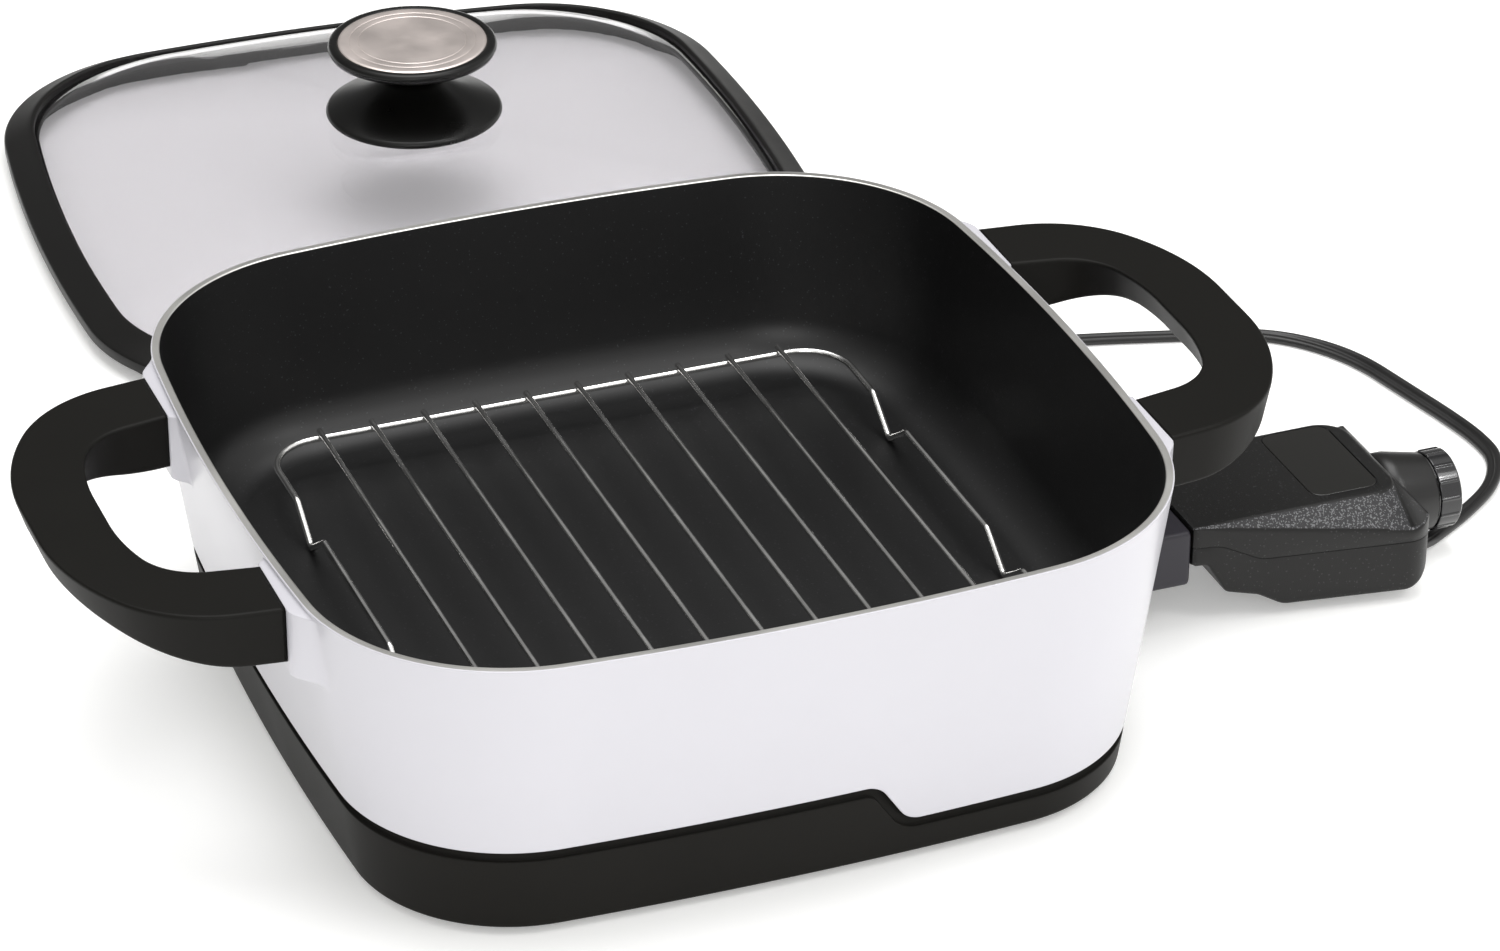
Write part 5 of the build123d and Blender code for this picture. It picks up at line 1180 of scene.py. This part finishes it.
exit_ahead = unit(cord_line[1] - cord_line[0])
(root_wide, root_high), (tip_wide, tip_high) = RELIEF_HALVES
relief_stations = []
for share in np.linspace(0.0, 1.0, 25):
    ring = RELIEF_RING if round(share * 24) % 4 == 2 else 0.0
    relief_stations.append((
        (share - 1.0) * RELIEF_LENGTH, root_wide + (tip_wide - root_wide) * share - ring,
        root_high + (tip_high - root_high) * share - ring, 0.0))
relief = closed_piece(
    "cord_relief", "control",
    along_box(cord_line[0], exit_ahead, relief_stations), cord_moulding, "strain_relief")
plug_ahead = unit(cord_line[-1] - cord_line[-2])
(neck_wide, neck_high), (grip_wide, grip_high), (face_wide, face_high) = PLUG_HALVES
plug_stations = [
    (0.0, neck_wide, neck_high, 0.0), (0.002, neck_wide, neck_high + 0.0004, 0.0004),
    (PLUG_NECK_LENGTH, grip_wide, grip_high, PLUG_LIFT - 0.0005),
    (0.012, grip_wide - 0.0008, grip_high - 0.0006, PLUG_LIFT - 0.0006),
    (0.017, grip_wide - 0.0006, grip_high - 0.0004, PLUG_LIFT - 0.0004),
    (0.021, face_wide, face_high - 0.0001, PLUG_LIFT),
    (0.0235, face_wide, face_high - 0.0001, PLUG_LIFT),
    (PLUG_LENGTH, face_wide - 0.0006, face_high - 0.0007, PLUG_LIFT)]
plug = closed_piece(
    "mains_plug", "control",
    along_box(cord_line[-1], plug_ahead, plug_stations), cord_moulding, "plug_body")
show("plug_blades", brass)

# Lid -----------------------------------------------------------------------------------
# A clear, low dome of tempered glass with its edge held in a moulded black rim. The rim
# rises to a lip round the glass, and a skirt under it drops inside the pan. It lies on
# the counter behind the pan.

LID_MIDDLE = (0.0355, 0.3718)
LID_TURN = math.radians(-3.5)
LID_HALF = 0.1535
LID_SIDE_RADIUS = 0.840
LID_CORNER_RADIUS = 0.077
GLASS_WALL = 0.004
GLASS_PROFILE = ((0.0108, 0.0125), (0.0190, 0.0170), (0.0320, 0.0218), (0.0600, 0.0286),
                 (0.0880, 0.0334), (0.1180, 0.0370), (0.1300, 0.0370), (0.1535, 0.0370))
BAND_PROFILE = (
    (0.0150, 0.0068), (0.0150, 0.0084), (0.0132, 0.0086), (0.0127, 0.0110), (0.0124, 0.0140),
    (0.0122, 0.0146), (0.0116, 0.0150), (0.0108, 0.0150), (0.0090, 0.0139), (0.0060, 0.0124),
    (0.0030, 0.0109), (0.0010, 0.0100), (0.0003, 0.0095), (0.0000, 0.0090), (0.0000, 0.0075),
    (0.0000, 0.0058), (0.0002, 0.0053), (0.0008, 0.0050), (0.0058, 0.0050), (0.0060, 0.0046),
    (0.0060, 0.0006), (0.0064, 0.0000), (0.0086, 0.0000), (0.0090, 0.0004), (0.0090, 0.0066),
    (0.0150, 0.0068))
GLASS_COLOUR = (0.770, 0.757, 0.782, 1.0)
LID_RIM_COLOUR = (0.0045, 0.0042, 0.0038, 1.0)


def in_lid_place(points):
    """Points of the lid, turned and moved to where it lies."""
    cos, sin = math.cos(LID_TURN), math.sin(LID_TURN)
    x, y, z = points[..., 0], points[..., 1], points[..., 2]
    return np.stack([
        LID_MIDDLE[0] + x * cos - y * sin, LID_MIDDLE[1] + x * sin + y * cos, z], axis=-1)


def smooth_through(points, steps):
    """Curve through points: on each span the cubic whose slopes at its ends are those of
    the lines between the points' neighbours."""
    points = np.asarray(points, float)
    padded = np.vstack([2 * points[0] - points[1], points, 2 * points[-1] - points[-2]])
    t = np.linspace(0.0, 1.0, steps, endpoint=False)[:, None]
    spans = []
    for a, b, c, d in zip(padded, padded[1:], padded[2:], padded[3:]):
        spans.append(0.5 * (2 * b + (c - a) * t + (2 * a - 5 * b + 4 * c - d) * t**2
                            + (3 * b - a - 3 * c + d) * t**3))
    return np.vstack([*spans, points[-1:]])


def glass_rows(profile, around):
    """The dome: at each (inset, level) the lid's outline, scaled to that inset."""
    share = (LID_HALF - profile[:, :1]) / LID_HALF
    x, y = bowed_square(
        LID_HALF * share, LID_SIDE_RADIUS * share, LID_CORNER_RADIUS * share, around)
    return np.stack([x, y, np.broadcast_to(profile[:, 1:], x.shape)], axis=-1)


lid_around = around_places(56, 40)
glass_top = smooth_through(GLASS_PROFILE, 6)
glass_top[-1, 0] = LID_HALF * 0.9999
glass_under = (glass_top - (0.0, GLASS_WALL))[::-1]
glass_edge = glass_top[0] - (0.0004, 0.002)
glass_profile = np.vstack([glass_under, glass_edge, glass_top])
clear_glass, glass_tree, glass_shader = new_material(
    "clear_glass", Base_Color=GLASS_COLOUR, Roughness=0.015, IOR=1.27,
    Transmission_Weight=1.0)
glass_skin = node(glass_tree, "Group", node_tree=SURFACE_GRAIN)
glass_skin.inputs["Grain Scale"].default_value = 24.0
glass_wave = node(glass_tree, "Bump", {"Height": glass_skin.outputs["Height"], "Distance": 0.00005})
glass_tree.links.new(glass_wave.outputs["Normal"], glass_shader.inputs["Normal"])
closed_piece(
    "glass_dome", "lid", in_lid_place(glass_rows(glass_profile, lid_around)),
    clear_glass, "lid_glass")

lid_rim_plastic = finish(
    "lid_rim_plastic", LID_RIM_COLOUR, 0.36, 0.48, 1500.0, 0.00004, patches=20.0, change=0.14,
    Specular_IOR_Level=0.25)
band_inset, band_level = np.hsplit(np.array(BAND_PROFILE), 2)
rim_x, rim_y = bowed_square(
    LID_HALF - band_inset, LID_SIDE_RADIUS - band_inset, LID_CORNER_RADIUS - band_inset,
    lid_around)
rim_grid = np.stack([rim_x, rim_y, np.broadcast_to(band_level, rim_x.shape)], axis=-1)
closed_piece(
    "lid_rim_band", "lid", in_lid_place(rim_grid), lid_rim_plastic, "lid_rim")

# Knob ------------------------------------------------------------------------------------
# An hourglass of glossy black phenolic in two halves, drawn together through the glass by
# one screw with a washer under it. A spun steel disc with two engraved rings is set
# into the top.

KNOB_CENTRE = (0.0370, 0.3725, 0.037)
KNOB_COLUMNS = 128
FLANGE_PROFILE = ((0.0, 0.0), (0.0225, 0.0), (0.0235, 0.0002), (0.0335, 0.0034), (0.0346, 0.0040),
                  (0.0350, 0.0046), (0.0350, 0.0052), (0.0346, 0.0061), (0.0338, 0.0067),
                  (0.0300, 0.0084), (0.0250, 0.0106),
                  (0.0200, 0.0131), (0.0160, 0.0157), (0.0130, 0.0182), (0.0115, 0.0200),
                  (0.0, 0.0200))
GRIP_PROFILE = ((0.0, 0.0200), (0.0115, 0.0200), (0.0117, 0.0215), (0.0130, 0.0243),
                (0.0165, 0.0268), (0.0220, 0.0285), (0.0275, 0.0294), (0.0310, 0.0300),
                (0.0328, 0.0310), (0.0335, 0.0326), (0.0333, 0.0338), (0.0326, 0.0346),
                (0.0314, 0.0350), (0.0302, 0.0349), (0.02965, 0.0346), (0.0296, 0.0340),
                (0.0, 0.0340))
DISC_PROFILE = ((0.0, 0.0340), (0.0293, 0.0340), (0.0295, 0.0342), (0.0294, 0.0347),
                (0.0284, 0.0350), (0.0253, 0.0350), (0.0252, 0.0348), (0.0249, 0.0348),
                (0.0248, 0.0350), (0.0217, 0.0350), (0.0216, 0.0348), (0.0213, 0.0348),
                (0.0212, 0.0350), (0.0, 0.0350))
KNOB_COLOUR = (0.0028, 0.0027, 0.0024, 1.0)
DISC_COLOUR = (0.90, 0.815, 0.775, 1.0)

knob_phenolic = finish(
    "knob_phenolic", KNOB_COLOUR, 0.26, 0.36, 1500.0, 0.000015, patches=40.0, change=0.1,
    Specular_IOR_Level=0.30)
spun_steel = finish(
    "spun_steel", DISC_COLOUR, 0.40, 0.48, 1500.0, 0.000006, patches=60.0, change=0.05,
    Metallic=1.0)
spun_tree = spun_steel.node_tree
spun_place = node(spun_tree, "Mapping", {
    "Vector": node(spun_tree, "TexCoord").outputs["Object"],
    "Location": (-KNOB_CENTRE[0], -KNOB_CENTRE[1], 0.0)})
spun_rings = node(spun_tree, "TexWave", {
    "Vector": spun_place.outputs["Vector"], "Scale": 700.0, "Distortion": 1.5,
    "Detail": 2.0}, wave_type="RINGS", rings_direction="Z")
spun_tree.links.new(spun_rings.outputs["Fac"], spun_tree.nodes["Bump"].inputs["Height"])
knob_parts = {
    "knob_foot": ("knob_plastic", FLANGE_PROFILE, knob_phenolic, "knob_flange"),
    "knob_top": ("knob_plastic", GRIP_PROFILE, knob_phenolic, "knob_grip"),
    "knob_badge": ("knob_disc", DISC_PROFILE, spun_steel, "knob_disc"),
}
for name, (slot, profile, material, stands_for) in knob_parts.items():
    grid = turned(np.array(profile)[:, ::-1], KNOB_COLUMNS, KNOB_CENTRE, axis=2)
    closed_piece(name, "lid", grid, material, stands_for)
show("knob_washer", foot_rubber)
show("knob_screw", plated_steel)

# Bounds of the shown pieces ----------------------------------------------------------------

low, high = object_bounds()
